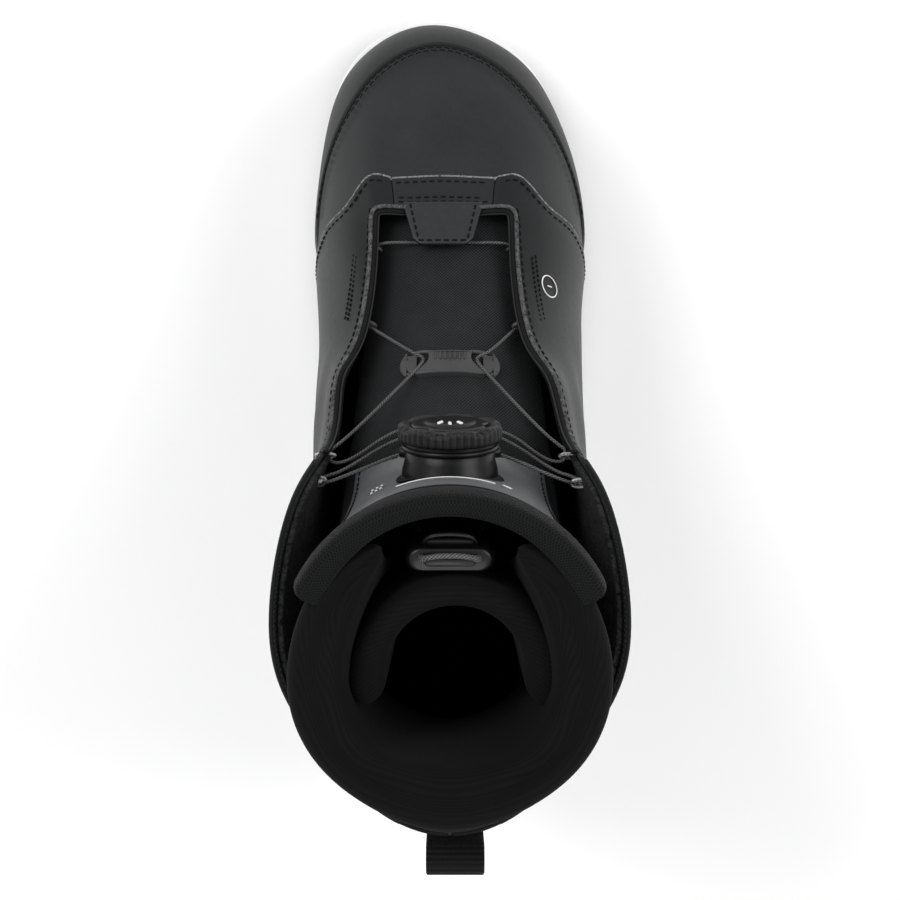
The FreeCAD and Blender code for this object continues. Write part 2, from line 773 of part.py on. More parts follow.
def make_reel_base():
    """Sewing flange that follows the tongue, with the reel's cup standing on it."""
    flange = doc.addObject("Part::Feature", "reel_flange")
    flange.Shape = patch_round_dial(19.0, 16.5, -size("reel_flange") - 1.4, -size("reel_flange"))
    cup = doc.addObject("Part::Cylinder", "reel_cup")
    cup.setExpression("Radius", cell("reel_radius"))
    cup.setExpression("Height", cell("reel_top + 4"))
    cup.Placement = dial_place.multiply(Placement(Vector(0, 0, -4.0), Rotation()))
    below = doc.addObject("Part::Feature", "reel_below")
    below.Shape = patch_round_dial(21.0, 19.0, -size("reel_flange") - 0.01, 12.0)
    standing = doc.addObject("Part::Cut", "reel_standing")
    standing.Base = cup
    standing.Tool = below
    whole = doc.addObject("Part::MultiFuse", "reel_whole")
    whole.Shapes = [flange, standing]
    cavity = doc.addObject("Part::Cylinder", "reel_cavity")
    cavity.setExpression("Radius", cell("reel_cavity"))
    cavity.Height = 20.0
    cavity.Placement = dial_place.multiply(Placement(Vector(0, 0, size("reel_floor")), Rotation()))
    ports = []
    for side in (-1, 1):
        port = doc.addObject("Part::Cylinder", "lace_port")
        port.Radius = PORT_RADIUS
        port.Height = 20.0
        turn = Rotation(Vector(0, 0, 1), port_direction(side))
        port.Placement = dial_place.multiply(Placement(Vector(0, 0, PORT_HEIGHT), turn))
        ports.append(port)
    cutters = doc.addObject("Part::MultiFuse", "reel_cutters")
    cutters.Shapes = [cavity] + ports
    base = doc.addObject("Part::Cut", "reel_base")
    base.Base = whole
    base.Tool = cutters
    keep(base, "reel_base")


def dial_body(label):
    body = new_body(label)
    body.Placement = dial_place
    return body


def make_spool():
    """Drum that the lace winds on: two flanges, a core and a bore for the screw."""
    body = dial_body("lace_spool")
    disc(body, "spool_radius", "spool_base", "spool_thick")
    groove = new_sketch(body, "XY_Plane", "spool_base + spool_flange")
    add_circle(groove, "spool_radius + 1")
    add_circle(groove, "spool_core")
    pocket(body, groove, "spool_thick - 2 * spool_flange")
    bore(body, "screw_radius + 0.06", "spool_base", "spool_thick")
    # the recess on the dial's side leaves room for the knob's sleeve when it is pushed home
    bore(body, "spool_core - 2", "spool_base + spool_thick - 0.8", "0.8")
    return body


def make_housing():
    """Ring with inward teeth that the pawls click over."""
    body = dial_body("dial_housing")
    disc(body, "housing_radius", "housing_base", "housing_thick", "housing_bore")
    tooth = new_sketch(body, "XY_Plane", "housing_base")
    tip = size("pawl_radius") + 0.45
    root = size("housing_bore") + 0.3
    add_outline(tooth, [Vector(root, -0.9), Vector(root, 0.9), Vector(tip, 0.35)])
    polar(body, pad(body, tooth, "housing_thick"), 24)
    return body


def make_pawl_disc():
    """Disc under the knob with three spring arms ending in pawls."""
    body = dial_body("pawl_disc")
    disc(body, "pawl_radius", "pawl_base", "pawl_thick", "sleeve_radius + 0.06")
    slot = new_sketch(body, "XY_Plane", "pawl_base")
    middle = size("pawl_radius") * 0.72
    points = [Vector(middle * math.cos(angle), middle * math.sin(angle)) for angle in (0.0, 0.4, 0.8)]
    wide = [point * 1.12 for point in reversed(points)]
    slot.addGeometry(Part.Arc(*points), False)
    slot.addGeometry(Part.LineSegment(points[-1], wide[0]), False)
    slot.addGeometry(Part.Arc(*wide), False)
    slot.addGeometry(Part.LineSegment(wide[-1], points[0]), False)
    polar(body, pocket(body, slot, "pawl_thick"), 3)
    return body


def make_knob():
    core = dial_body("knob_core")
    disc(core, "knob_radius", "knob_base", "knob_thick")
    bore(core, "knob_recess", "knob_recess_floor", "knob_thick")
    hub = new_sketch(core, "XY_Plane", "pawl_base + pawl_thick + 0.02")
    add_circle(hub, "pawl_radius - 2")
    pad(core, hub, "knob_base - pawl_base - pawl_thick - 0.02")
    bore(core, "sleeve_radius + 0.06", "pawl_base", "knob_thick")

    grip = dial_body("knob_grip")
    disc(grip, "grip_radius", "knob_base", "grip_top - knob_base", "knob_radius + 0.02")
    rib = new_sketch(grip, "XY_Plane", "knob_base")
    add_circle(rib, "0.55", Vector(size("grip_radius") + 0.1, 0, 0))
    polar(grip, pocket(grip, rib, "grip_top - knob_base - 1.2"), 40)

    cap = dial_body("knob_cap")
    disc(cap, "cap_radius", "knob_base + knob_thick + 0.02", "cap_thick")

    sleeve = dial_body("knob_sleeve")
    disc(sleeve, "sleeve_radius", "sleeve_base", "sleeve_length", "sleeve_bore")

    screw = dial_body("dial_screw")
    disc(screw, "screw_radius", "reel_floor + 0.02", "12")
    head = new_sketch(screw, "XY_Plane", "reel_floor + 12.02")
    add_circle(head, "screw_head")
    pad(screw, head, "0.5")


def make_dial():
    soft_part("dial_pad", patch_round_dial(20.5, 18.0, -size("reel_flange") + 0.25, -1.25))
    make_reel_base()
    make_spool()
    make_housing()
    make_pawl_disc()
    make_knob()


# ---------------------------------------------------------------- lace and its guides

GUIDE_STATION = 2.05
GUIDE_HOLE = 9.4
SLIT_T = (3.12, 4.05)
MID_LOOP = Vector(36.2, -21.0, 157.0)
TOP_LOOP = Vector(38.6, -29.3, 166.0)


def rounded_path(points, least=0.9):
    """Straight runs joined by tangent arcs, each as large as its two runs allow."""
    edges, radii, start = [], [], points[0]
    for before, corner, after in zip(points, points[1:], points[2:]):
        back = before - corner
        ahead = after - corner
        run = min(back.Length, ahead.Length)
        back.normalize()
        ahead.normalize()
        half_turn = (math.pi - back.getAngle(ahead)) / 2.0
        tangent = 0.45 * run
        radius = tangent / math.tan(half_turn)
        middle_way = (back + ahead).normalize()
        to_centre = radius / math.cos(half_turn)
        first = corner + back * tangent
        last = corner + ahead * tangent
        middle = corner + middle_way * (to_centre - radius)
        edges.append(Part.LineSegment(start, first).toShape())
        edges.append(Part.Arc(first, middle, last).toShape())
        radii.append(round(radius, 1))
        start = last
    edges.append(Part.LineSegment(start, points[-1]).toShape())
    return Part.Wire(edges), radii


def make_cord(label, points, radius):
    """Round cord along a path; its volume is compared with section times length."""
    path, radii = rounded_path(points)
    ring = Part.Wire([Part.makeCircle(radius, points[0], points[1] - points[0])])
    shape = path.makePipeShell([ring], True, False)
    expected = math.pi * radius ** 2 * path.Length
    print(f"{label}: length {path.Length:.1f}, smallest radius {min(radii)}, radii {radii}")
    if abs(shape.Volume - expected) > 0.01 * expected:
        raise ValueError(f"{label}: volume {shape.Volume:.2f} against {expected:.2f}")
    return soft_part(label, shape)


def on_tongue(x, v, lift):
    """Point above the tongue at a sideways place."""
    return tongue.at(tongue.across_at(x, v), v, -lift)


def beside_slit(side, t, depth=6.2):
    point = upper.at(t, 0.985, depth)
    return Vector(side * abs(point.x - toe_swing(point.y)) + toe_swing(point.y), point.y, point.z)


def flip(point):
    return Vector(-point.x, point.y, point.z)


def half_lace(side):
    """Route from the middle of the toe end of the throat up to the reel, for one side."""
    slit_1 = beside_slit(side, SLIT_T[0])
    slit_2 = beside_slit(side, SLIT_T[1])
    guide = on_tongue(side * GUIDE_HOLE, GUIDE_STATION, 2.6)
    mid = Vector(side * MID_LOOP.x, MID_LOOP.y, MID_LOOP.z)
    top = Vector(-side * TOP_LOOP.x, TOP_LOOP.y, TOP_LOOP.z)
    over = 1.6 if side > 0 else 3.3
    port = dial_place.multVec(port_direction(-side) * 10.6 + Vector(0, 0, PORT_HEIGHT))
    port_out = dial_place.multVec(port_direction(-side) * 16.5 + Vector(0, 0, PORT_HEIGHT))
    return [
        on_tongue(side * 6.0, 0.66, 1.9),
        slit_1 + Vector(-side * 6.0, 0.6, 1.8),
        slit_1 + Vector(-side * 0.5, 0.4, 0.3),
        slit_1 + Vector(0, -3.2, 0.6),
        slit_2 + Vector(0, 3.2, -0.6),
        slit_2 + Vector(-side * 0.5, -0.6, 0.6),
        slit_2 + Vector(-side * 5.5, -2.9, 3.9),
        guide + Vector(side * 3.6, 2.8, 0.0),
        guide + Vector(side * 0.4, 0.2, 0.3),
        guide + Vector(side * 1.9, -3.6, 3.0),
        mid + Vector(-side * 7.0, 6.5, -1.8),
        mid + Vector(-side * 0.6, 1.8, -0.3),
        mid + Vector(-side * 0.4, -2.6, 0.8),
        mid + Vector(-side * 7.0, -2.0, -0.9),
        on_tongue(side * 19.0, 3.20, 1.9),
        on_tongue(side * 8.0, 3.25, over),
        on_tongue(-side * 8.0, 3.34, over),
        on_tongue(-side * 19.0, 3.42, 2.1),
        top + Vector(side * 7.0, 3.0, -2.9),
        top + Vector(side * 0.7, 1.6, -0.6),
        top + Vector(side * 0.4, -1.0, 1.7),
        top + Vector(side * 8.0, 1.6, 4.2),
        port_out,
        port,
    ]


def make_eye(label_shapes, centre, direction, ring, wire):
    """Ring that holds the lace, its hole along a direction."""
    eye = doc.addObject("Part::Torus", "lace_eye")
    eye.Radius1 = ring
    eye.Radius2 = wire
    eye.Placement = Placement(centre, Rotation(Vector(0, 0, 1), direction))
    label_shapes.append(eye)
    return eye


def make_eye_group(label, eyes):
    group = doc.addObject("Part::Compound", label)
    group.Links = eyes
    keep(group, label)


def make_lace_hardware():
    """Webbing loops at the ankle and small eyes under the eyestays, one pair of each per side."""
    loops, eyes = [], []
    for side in (1, -1):
        mid = Vector(side * (MID_LOOP.x - 0.5), MID_LOOP.y - 0.4, MID_LOOP.z + 0.25)
        make_eye(loops, mid, Vector(side * 0.2, -4.4, 1.1), 2.3, 0.55)
        top = Vector(side * (TOP_LOOP.x - 0.55), TOP_LOOP.y + 0.3, TOP_LOOP.z + 0.55)
        make_eye(loops, top, Vector(side * 0.3, -2.6, 2.3), 2.3, 0.55)
        slit_1 = beside_slit(side, SLIT_T[0]) + Vector(-side * 0.25, -1.4, 0.45)
        make_eye(eyes, slit_1, Vector(side * 0.5, -3.6, 0.3), 1.6, 0.5)
        slit_2 = beside_slit(side, SLIT_T[1]) + Vector(-side * 0.25, 1.3, 0.0)
        make_eye(eyes, slit_2, Vector(-side * 0.5, -3.8, 1.2), 1.6, 0.5)
    make_eye_group("side_webbing_loops", loops)
    make_eye_group("eyestay_guides", eyes)


def make_centre_guide():
    """Moulded guide sewn to the tongue: a curved plate with an eye at each end."""
    reach = tongue.across_at(17.0, GUIDE_STATION)
    rise = 0.23
    plate = doc.addObject("Part::Feature", "guide_plate")
    place = across(GUIDE_STATION - rise, GUIDE_STATION + rise, -reach, reach)
    plate.Shape = panel_shape(tongue, place, 4, 10, -1.7, -0.2)
    eyes = []
    for side in (1, -1):
        spot = on_tongue(side * GUIDE_HOLE, GUIDE_STATION, 2.6) + Vector(side * 2.0, 1.5, 0.4)
        make_eye(eyes, spot, Vector(side * 3.2, 2.6, -0.3), 2.1, 0.7)
    whole = doc.addObject("Part::MultiFuse", "centre_guide")
    whole.Shapes = [plate] + eyes
    keep(whole, "centre_guide")


def make_lace():
    right = half_lace(1)
    left = half_lace(-1)
    make_cord("lace", list(reversed(left)) + right, size("lace_radius"))


# ---------------------------------------------------------------- liner

def make_liner():
    outside, inside = size("liner_outside"), size("liner_inside")

    def eased(low, high, share):
        share = min(max(share, 0.0), 1.0)
        return between(low, high, share * share * (3.0 - 2.0 * share))

    def foot_top(t):
        if abs(t) < 4.6:
            return eased(0.90, 0.73, abs(t) / 2.4)
        return eased(0.73, 0.52, (t - 4.6) / 2.2)

    vamp = strip(-4.5, 4.5, level(0.12), foot_top)
    soft_part("liner_vamp", panel_shape(upper, vamp, 10, 36, outside, inside))
    for side, word in ((1, "lateral"), (-1, "medial")):
        place = strip(4.52, HEEL - 0.02, level(0.12), foot_top)
        soft_part(f"liner_{word}_heel", panel_shape(upper, on_side(side, place), 10, 18, outside, inside))

    thick = size("liner_cuff_thick")

    def cuff_depth(a, b):
        ends = min(a, 1.0 - a)
        return thick * min(0.45 + 5.0 * ends, 1.0) * between(0.62, 1.0, b)

    last = 2 * len(LINER_CUFF_RIBS) - 2

    def cuff_place(a, b):
        return last * a, b

    soft_part("liner_cuff", panel_shape(liner_cuff, cuff_place, 10, 40, 0.0, cuff_depth))
    soft_part("liner_tongue", panel_shape(liner_tongue, across(0.0, liner_tongue.last), 14, 14, 0.0,
                                          tongue_depth(size("liner_tongue_thick"), 0.6)))


LOCK_FOOT = Vector(0, -53.0, 211.0)
LOCK_LEAN = 14.0
CORD_SPACING = 9.0
lock_place = Placement(LOCK_FOOT, Rotation(Vector(1, 0, 0), LOCK_LEAN))


def make_lace_lock():
    """Cord lock of the liner: a rounded plate with a finger slot and two cord bores."""
    width, height, thick = size("lock_width"), size("lock_height"), size("lock_thick")
    body = new_body("liner_lock_body")
    body.Placement = lock_place
    plan = new_sketch(body, "XY_Plane")
    straight = (width - thick) / 2.0
    add_stadium(plan, straight, thick / 2.0)
    pad(body, plan, "lock_height")
    slot = new_sketch(body, "XY_Plane", "lock_height - 8")
    add_outline(slot, rectangle(-6.6, 6.6, -1.7, 1.7))
    pocket(body, slot, "8")
    cords = new_sketch(body, "XY_Plane")
    for side in (-1, 1):
        add_circle(cords, "lock_bore", Vector(side * CORD_SPACING, 0, 0))
    pocket(body, cords)

    button = new_body("liner_lock_button")
    button.Placement = lock_place
    plate = new_sketch(button, "XY_Plane", "lock_height - 5")
    add_outline(plate, rectangle(-6.2, 6.2, -1.3, 1.3))
    pad(button, plate, "7.5")
    return height


def add_stadium(sketch, straight, radius):
    """Slot-shaped outline along X."""
    ends = [Vector(-straight, radius), Vector(straight, radius), Vector(straight, -radius),
            Vector(-straight, -radius)]
    sketch.addGeometry(Part.LineSegment(ends[0], ends[1]), False)
    sketch.addGeometry(Part.Arc(ends[1], Vector(straight + radius, 0), ends[2]), False)
    sketch.addGeometry(Part.LineSegment(ends[2], ends[3]), False)
    sketch.addGeometry(Part.Arc(ends[3], Vector(-straight - radius, 0), ends[0]), False)


def make_harness():
    """Cord of the liner's harness: up one side, over the lock and down the other."""
    side = [lock_place.multVec(Vector(x, y, z)) for x, y, z in (
        (CORD_SPACING + 3.0, -2.0, -36.0), (CORD_SPACING + 0.5, -0.6, -18.0),
        (CORD_SPACING, 0.0, -6.0), (CORD_SPACING, 0.05, 18.6), (CORD_SPACING - 2.6, 2.0, 21.2))]
    route = side + [flip(point) for point in reversed(side)]
    make_cord("liner_harness_cord", route, size("harness_radius"))


# ---------------------------------------------------------------- heel loop

LOOP_FRONT = Vector(0, -139.3, 209.0)
LOOP_DROP = 30.0
LOOP_GAP = 6.6


def make_heel_loop():
    """Folded webbing loop that hangs behind the cuff and lifts to pull the boot on."""
    body = new_body("heel_pull_loop")
    body.Placement = Placement(LOOP_FRONT, Rotation())
    side_view = new_sketch(body, "YZ_Plane")
    thick = size("webbing_thick")
    inner = LOOP_GAP / 2.0
    outer = inner + thick
    drop = LOOP_DROP - outer
    for reach in (outer, inner):
        side_view.addGeometry(Part.LineSegment(Vector(reach - outer, 0), Vector(reach - outer, -drop)), False)
        side_view.addGeometry(Part.Arc(Vector(reach - outer, -drop), Vector(-outer, -drop - reach),
                                       Vector(-reach - outer, -drop)), False)
        side_view.addGeometry(Part.LineSegment(Vector(-reach - outer, -drop), Vector(-reach - outer, 0)), False)
        side_view.addGeometry(Part.Arc(Vector(-reach - outer, 0), Vector(-outer, reach),
                                       Vector(reach - outer, 0)), False)
    feature = pad(body, side_view, "webbing_width")
    feature.Midplane = True
    return body


# ---------------------------------------------------------------- make, check, write

def check_and_write():
    doc.recompute()
    faults = []
    for item in doc.Objects:
        if "Invalid" in item.State or "Error" in item.State:
            faults.append(f"{item.Label}: {item.State}")
    for item in made:
        if item.Shape.isNull() or not item.Shape.isValid() or not item.Shape.Solids:
            faults.append(f"{item.Label}: no valid solid")
    if faults:
        raise RuntimeError("; ".join(faults))
    os.makedirs("parts", exist_ok=True)
    for item in made:
        item.Shape.exportStep(f"parts/{item.Label}.step")
        box = item.Shape.BoundBox
        print(f"{item.Label}: {item.Shape.Volume:.0f} mm3, x {box.XMin:.1f} {box.XMax:.1f}, "
              f"y {box.YMin:.1f} {box.YMax:.1f}, z {box.ZMin:.1f} {box.ZMax:.1f}")


make_bottom()
make_upper_panels()
make_throat_tab()
make_tongue()
make_dial()
make_lace_hardware()
make_centre_guide()
make_lace()
make_liner()
make_lace_lock()
make_harness()
make_heel_loop()
check_and_write()
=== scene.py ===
import math

import bpy
import numpy as np
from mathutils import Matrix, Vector


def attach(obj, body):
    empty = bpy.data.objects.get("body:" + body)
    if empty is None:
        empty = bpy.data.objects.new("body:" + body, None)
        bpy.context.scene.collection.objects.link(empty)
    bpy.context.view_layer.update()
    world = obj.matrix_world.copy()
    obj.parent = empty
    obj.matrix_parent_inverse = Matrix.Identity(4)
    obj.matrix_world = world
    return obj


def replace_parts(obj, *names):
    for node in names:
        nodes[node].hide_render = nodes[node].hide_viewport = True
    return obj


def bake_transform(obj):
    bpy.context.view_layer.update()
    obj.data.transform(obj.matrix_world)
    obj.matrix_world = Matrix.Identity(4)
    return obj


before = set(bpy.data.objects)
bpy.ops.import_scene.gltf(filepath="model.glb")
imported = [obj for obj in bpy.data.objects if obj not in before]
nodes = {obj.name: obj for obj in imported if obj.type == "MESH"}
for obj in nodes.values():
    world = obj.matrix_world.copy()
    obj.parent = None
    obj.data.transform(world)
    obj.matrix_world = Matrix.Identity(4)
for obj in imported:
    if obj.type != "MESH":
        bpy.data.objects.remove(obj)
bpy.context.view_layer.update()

# Right snowboard boot around its CAD frame. Shapes are worked out in millimetres.
MM = 0.001
SIDES = ((1, "lateral"), (-1, "medial"))
HANDS = ((1, "right"), (-1, "left"))

# ---------------------------------------------------------------- shape of the upper

# Ribs go round from the toe over the lateral side to the heel. Each one is a list of (X, Y, Z), sole to rim.
UPPER_RIBS = [
    [(0, 141, 27), (0, 143.5, 42), (0, 135, 62), (0, 112, 77.5), (0, 68, 97)],
    [(27, 130, 27), (28.5, 132, 42), (25.5, 124, 62), (19, 105, 78), (14, 67.9, 97.2)],
    [(41, 106, 27), (43.5, 107, 43), (40, 101, 64), (31, 89, 82), (24.6, 67.4, 97.8)],
    [(47.5, 70, 27), (50.5, 70, 45), (47.5, 67, 68), (38, 62, 89), (25.9, 53, 103)],
    [(46, 35, 27), (49, 35, 47), (48, 34, 72), (41, 29, 98), (29.5, 22, 121)],
    [(41, 2, 27), (46, 2, 50), (48, 2, 78), (45.5, 3, 108), (37, 6, 135)],
    [(37.5, -34, 27), (43, -33, 52), (46.5, -30, 85), (47, -24, 120), (40.5, -15, 153)],
    [(36, -68, 27), (41, -67, 52), (45, -63, 90), (48, -52, 138), (50, -35, 188)],
    [(36, -98, 27), (40, -99, 50), (43, -96, 90), (48, -86, 145), (55.2, -77, 205)],
    [(30, -122, 27), (33.5, -126, 50), (34.5, -124, 90), (38.5, -115, 148), (43.2, -106, 207)],
    [(16.5, -137, 27), (18.5, -141.5, 50), (18.5, -140, 92), (21, -132, 150), (23.6, -127.6, 210)],
    [(0, -141, 27), (0, -145.5, 50), (0, -144.5, 92), (0, -137, 150), (0, -136.2, 213)],
]
LINER_CUFF_RIBS = [
    [(25, -10, 106), (23, -45, 170), (21.5, -48, 212), (20.2, -44.2, 235)],
    [(36, -24, 106), (36.5, -55, 170), (37, -58.5, 212), (39.8, -56.5, 239)],
    [(39.5, -64, 106), (42.5, -78, 170), (45.8, -83, 212), (49, -82, 240)],
    [(33, -110, 106), (37, -108.5, 170), (39.8, -107, 212), (44.6, -105.5, 239.5)],
    [(15.5, -134, 106), (19.5, -127, 170), (22.6, -124.4, 212), (28.4, -123.6, 239)],
    [(0, -138, 106), (0, -131.8, 170), (0, -131.4, 212), (0, -133, 239)],
]
LINER_INNER_RIBS = [
    [(22, -16, 106), (18, -50, 170), (18.5, -54, 212), (18.6, -50.4, 234)],
    [(29, -34, 106), (27, -62, 170), (26.5, -66, 212), (27.5, -66, 238)],
    [(31, -66, 106), (31, -80, 170), (31, -84, 212), (32.2, -84.5, 239)],
    [(26, -98, 106), (26.5, -95, 168), (27, -97, 210), (29.8, -99.5, 238)],
    [(13, -112, 106), (15, -104.5, 166), (17, -106.5, 208), (19.6, -111.5, 237)],
    [(0, -116, 106), (0, -107.5, 165), (0, -109.5, 207), (0, -116, 236)],
]
# Tongues: Y, height, half width and how far the edges drop.
TONGUE_STATIONS = [
    (70, 89, 27, 5), (40, 106.5, 31, 9), (12, 127, 34, 12), (-8, 143.5, 36, 13),
    (-21, 157, 37, 15), (-26.5, 173, 38, 18), (-29, 196, 40, 22), (-30.5, 220, 43, 26),
    (-31.5, 242, 46, 29),
]
LINER_TONGUE_STATIONS = [
    (54, 84, 20, 3), (26, 100, 23, 6), (-3, 119, 25, 9), (-26, 141, 27, 13),
    (-42, 170, 29, 20), (-51, 200, 31.5, 30), (-56.6, 229, 33.8, 40),
]
# Places round the upper, counted in ribs from the toe.
RIBS = 22
HEEL = 11
BRIDGE_HALF = 1.27
CUFF_FRONT = 6.35
COUNTER_FRONT = 8.2
SPINE_HALF = 0.62
SPINE_FRONT = HEEL - SPINE_HALF
# Heights up the upper, as shares from sole to rim.
RAND_TOP = 0.54
RIM = 0.997
# Stations up the tongue.
HINGE = 2.8
ROLL_LOW = 7.05


def mix(low, high, share):
    return low + (high - low) * share


def ease(share):
    share = np.clip(share, 0, 1)
    return share * share * (3 - 2 * share)


def unit(vectors):
    return vectors / np.maximum(np.linalg.norm(vectors, axis=-1, keepdims=True), 1e-9)


def V(x, y, z):
    return np.array([x, y, z], float)


def toe_swing(y):
    """Sideways curve of the toe towards the medial side."""
    return -5.4 * np.clip((y - 62.0) / 80.0, 0, None) ** 1.6


def curve_bends(points, closed):
    """Second derivatives of the smooth curve through points at 0, 1, 2..."""
    count = len(points)
    matrix = np.eye(count)
    load = np.zeros(points.shape)
    for i in range(count):
        if closed or 0 < i < count - 1:
            matrix[i, i] = 4
            matrix[i, i - 1] += 1
            matrix[i, (i + 1) % count] += 1
            load[i] = 6 * (points[i - 1] - 2 * points[i] + points[(i + 1) % count])
        else:
            matrix[i, 1 if i == 0 else count - 2] = -1
    return np.linalg.solve(matrix, load.reshape(count, -1)).reshape(points.shape)


def span(low, high, low_bend, high_bend, after):
    """Point on one span of a smooth curve, a share after its start."""
    before = 1 - after
    bulge = (before ** 3 - before) * low_bend + (after ** 3 - after) * high_bend
    return before * low + after * high + bulge / 6


def curve_at(points, bends, place, closed):
    count = len(points)
    if closed:
        left = np.floor(np.mod(place, count)).astype(int) % count
        after = np.mod(place, count) - np.floor(np.mod(place, count))
    else:
        place = np.clip(place, 0, count - 1)
        left = np.minimum(place.astype(int), count - 2)
        after = place - left
    right = (left + 1) % count
    after = after.reshape((-1,) + (1,) * (points.ndim - 1))
    return span(points[left], points[right], bends[left], bends[right], after)


class Loft:
    """Surface over ribs: t counts ribs, w runs 0 to 1 up a rib."""

    def __init__(self, ribs, closed, swing=False):
        self.points = np.array(ribs, float)
        self.closed = closed
        if swing:
            self.points[..., 0] += toe_swing(self.points[..., 1])
            throat = ease((self.points[:, -1, 1] + 12) / 30)
            self.points[:, -1, 0] -= 2.3 * throat
            self.points[:, -2, 0] -= 0.9 * throat
        self.bends = curve_bends(self.points, closed)

    def point(self, t, w):
        t, w = np.broadcast_arrays(np.asarray(t, float), np.asarray(w, float))
        ribs = curve_at(self.points, self.bends, t.ravel(), self.closed)
        levels = np.moveaxis(ribs, 1, 0)
        bends = curve_bends(levels, False)
        last = len(levels) - 1
        q = np.clip(w.ravel(), 0, 1) * last
        left = np.minimum(q.astype(int), last - 1)
        k = np.arange(len(q))
        out = span(levels[left, k], levels[left + 1, k], bends[left, k], bends[left + 1, k], (q - left)[:, None])
        return out.reshape(t.shape + (3,))

    def normal(self, t, w):
        along = self.point(t + 0.02, w) - self.point(t - 0.02, w)
        up = self.point(t, np.minimum(w + 0.01, 1)) - self.point(t, np.maximum(w - 0.01, 0))
        return unit(np.cross(up, along))

    def at(self, t, w, depth):
        return self.point(t, w) - self.normal(t, w) * depth


class Tongue:
    """Padded strip arched across: u is -1 to 1 across, v counts its stations."""

    def __init__(self, stations, lean=0.0):
        self.lean = lean
        self.line = np.array(stations, float)
        self.bends = curve_bends(self.line, False)
        self.last = len(stations) - 1

    def stations(self, v):
        return curve_at(self.line, self.bends, np.ravel(v), False)

    def at(self, u, v, depth=0.0):
        u, v, depth = np.broadcast_arrays(np.asarray(u, float), np.asarray(v, float), depth)
        here = self.stations(v)
        rise = (self.stations(np.minimum(v + 0.05, self.last)) - self.stations(np.maximum(v - 0.05, 0)))[:, :2]
        rise /= np.linalg.norm(rise, axis=1)[:, None]
        half, arch = here[:, 2], 2 * np.arctan(here[:, 3] / here[:, 2])
        radius = half / np.sin(arch)
        angle = arch * u.ravel()
        reach = radius - depth.ravel()
        out = reach * np.cos(angle) - radius
        x = reach * np.sin(angle) + self.lean * ease(v.ravel() / self.last)
        y = here[:, 0] + rise[:, 1] * out
        z = here[:, 1] - rise[:, 0] * out
        return np.stack([x, y, z], -1).reshape(u.shape + (3,))

    def point(self, u, v):
        return self.at(u, v)

    def normal(self, u, v):
        return unit(self.at(u, v, -1.0) - self.at(u, v, 1.0))

    def across_at(self, x, v):
        """The share across, u, of points at X."""
        here = self.stations(v)
        arch = 2 * np.arctan(here[:, 3] / here[:, 2])
        return np.arcsin(np.clip(np.ravel(x) * np.sin(arch) / here[:, 2], -1, 1)) / arch


def mirrored(ribs):
    return [[(-x, y, z) for x, y, z in rib] for rib in reversed(ribs)]


upper = Loft(UPPER_RIBS + mirrored(UPPER_RIBS[1:-1]), True, True)
liner_cuff = Loft(LINER_CUFF_RIBS + mirrored(LINER_CUFF_RIBS[:-1]), False)
liner_hole = Loft(LINER_INNER_RIBS + mirrored(LINER_INNER_RIBS[:-1]), False)
tongue = Tongue(TONGUE_STATIONS)
liner_tongue = Tongue(LINER_TONGUE_STATIONS, 1.6)


# ---------------------------------------------------------------- materials

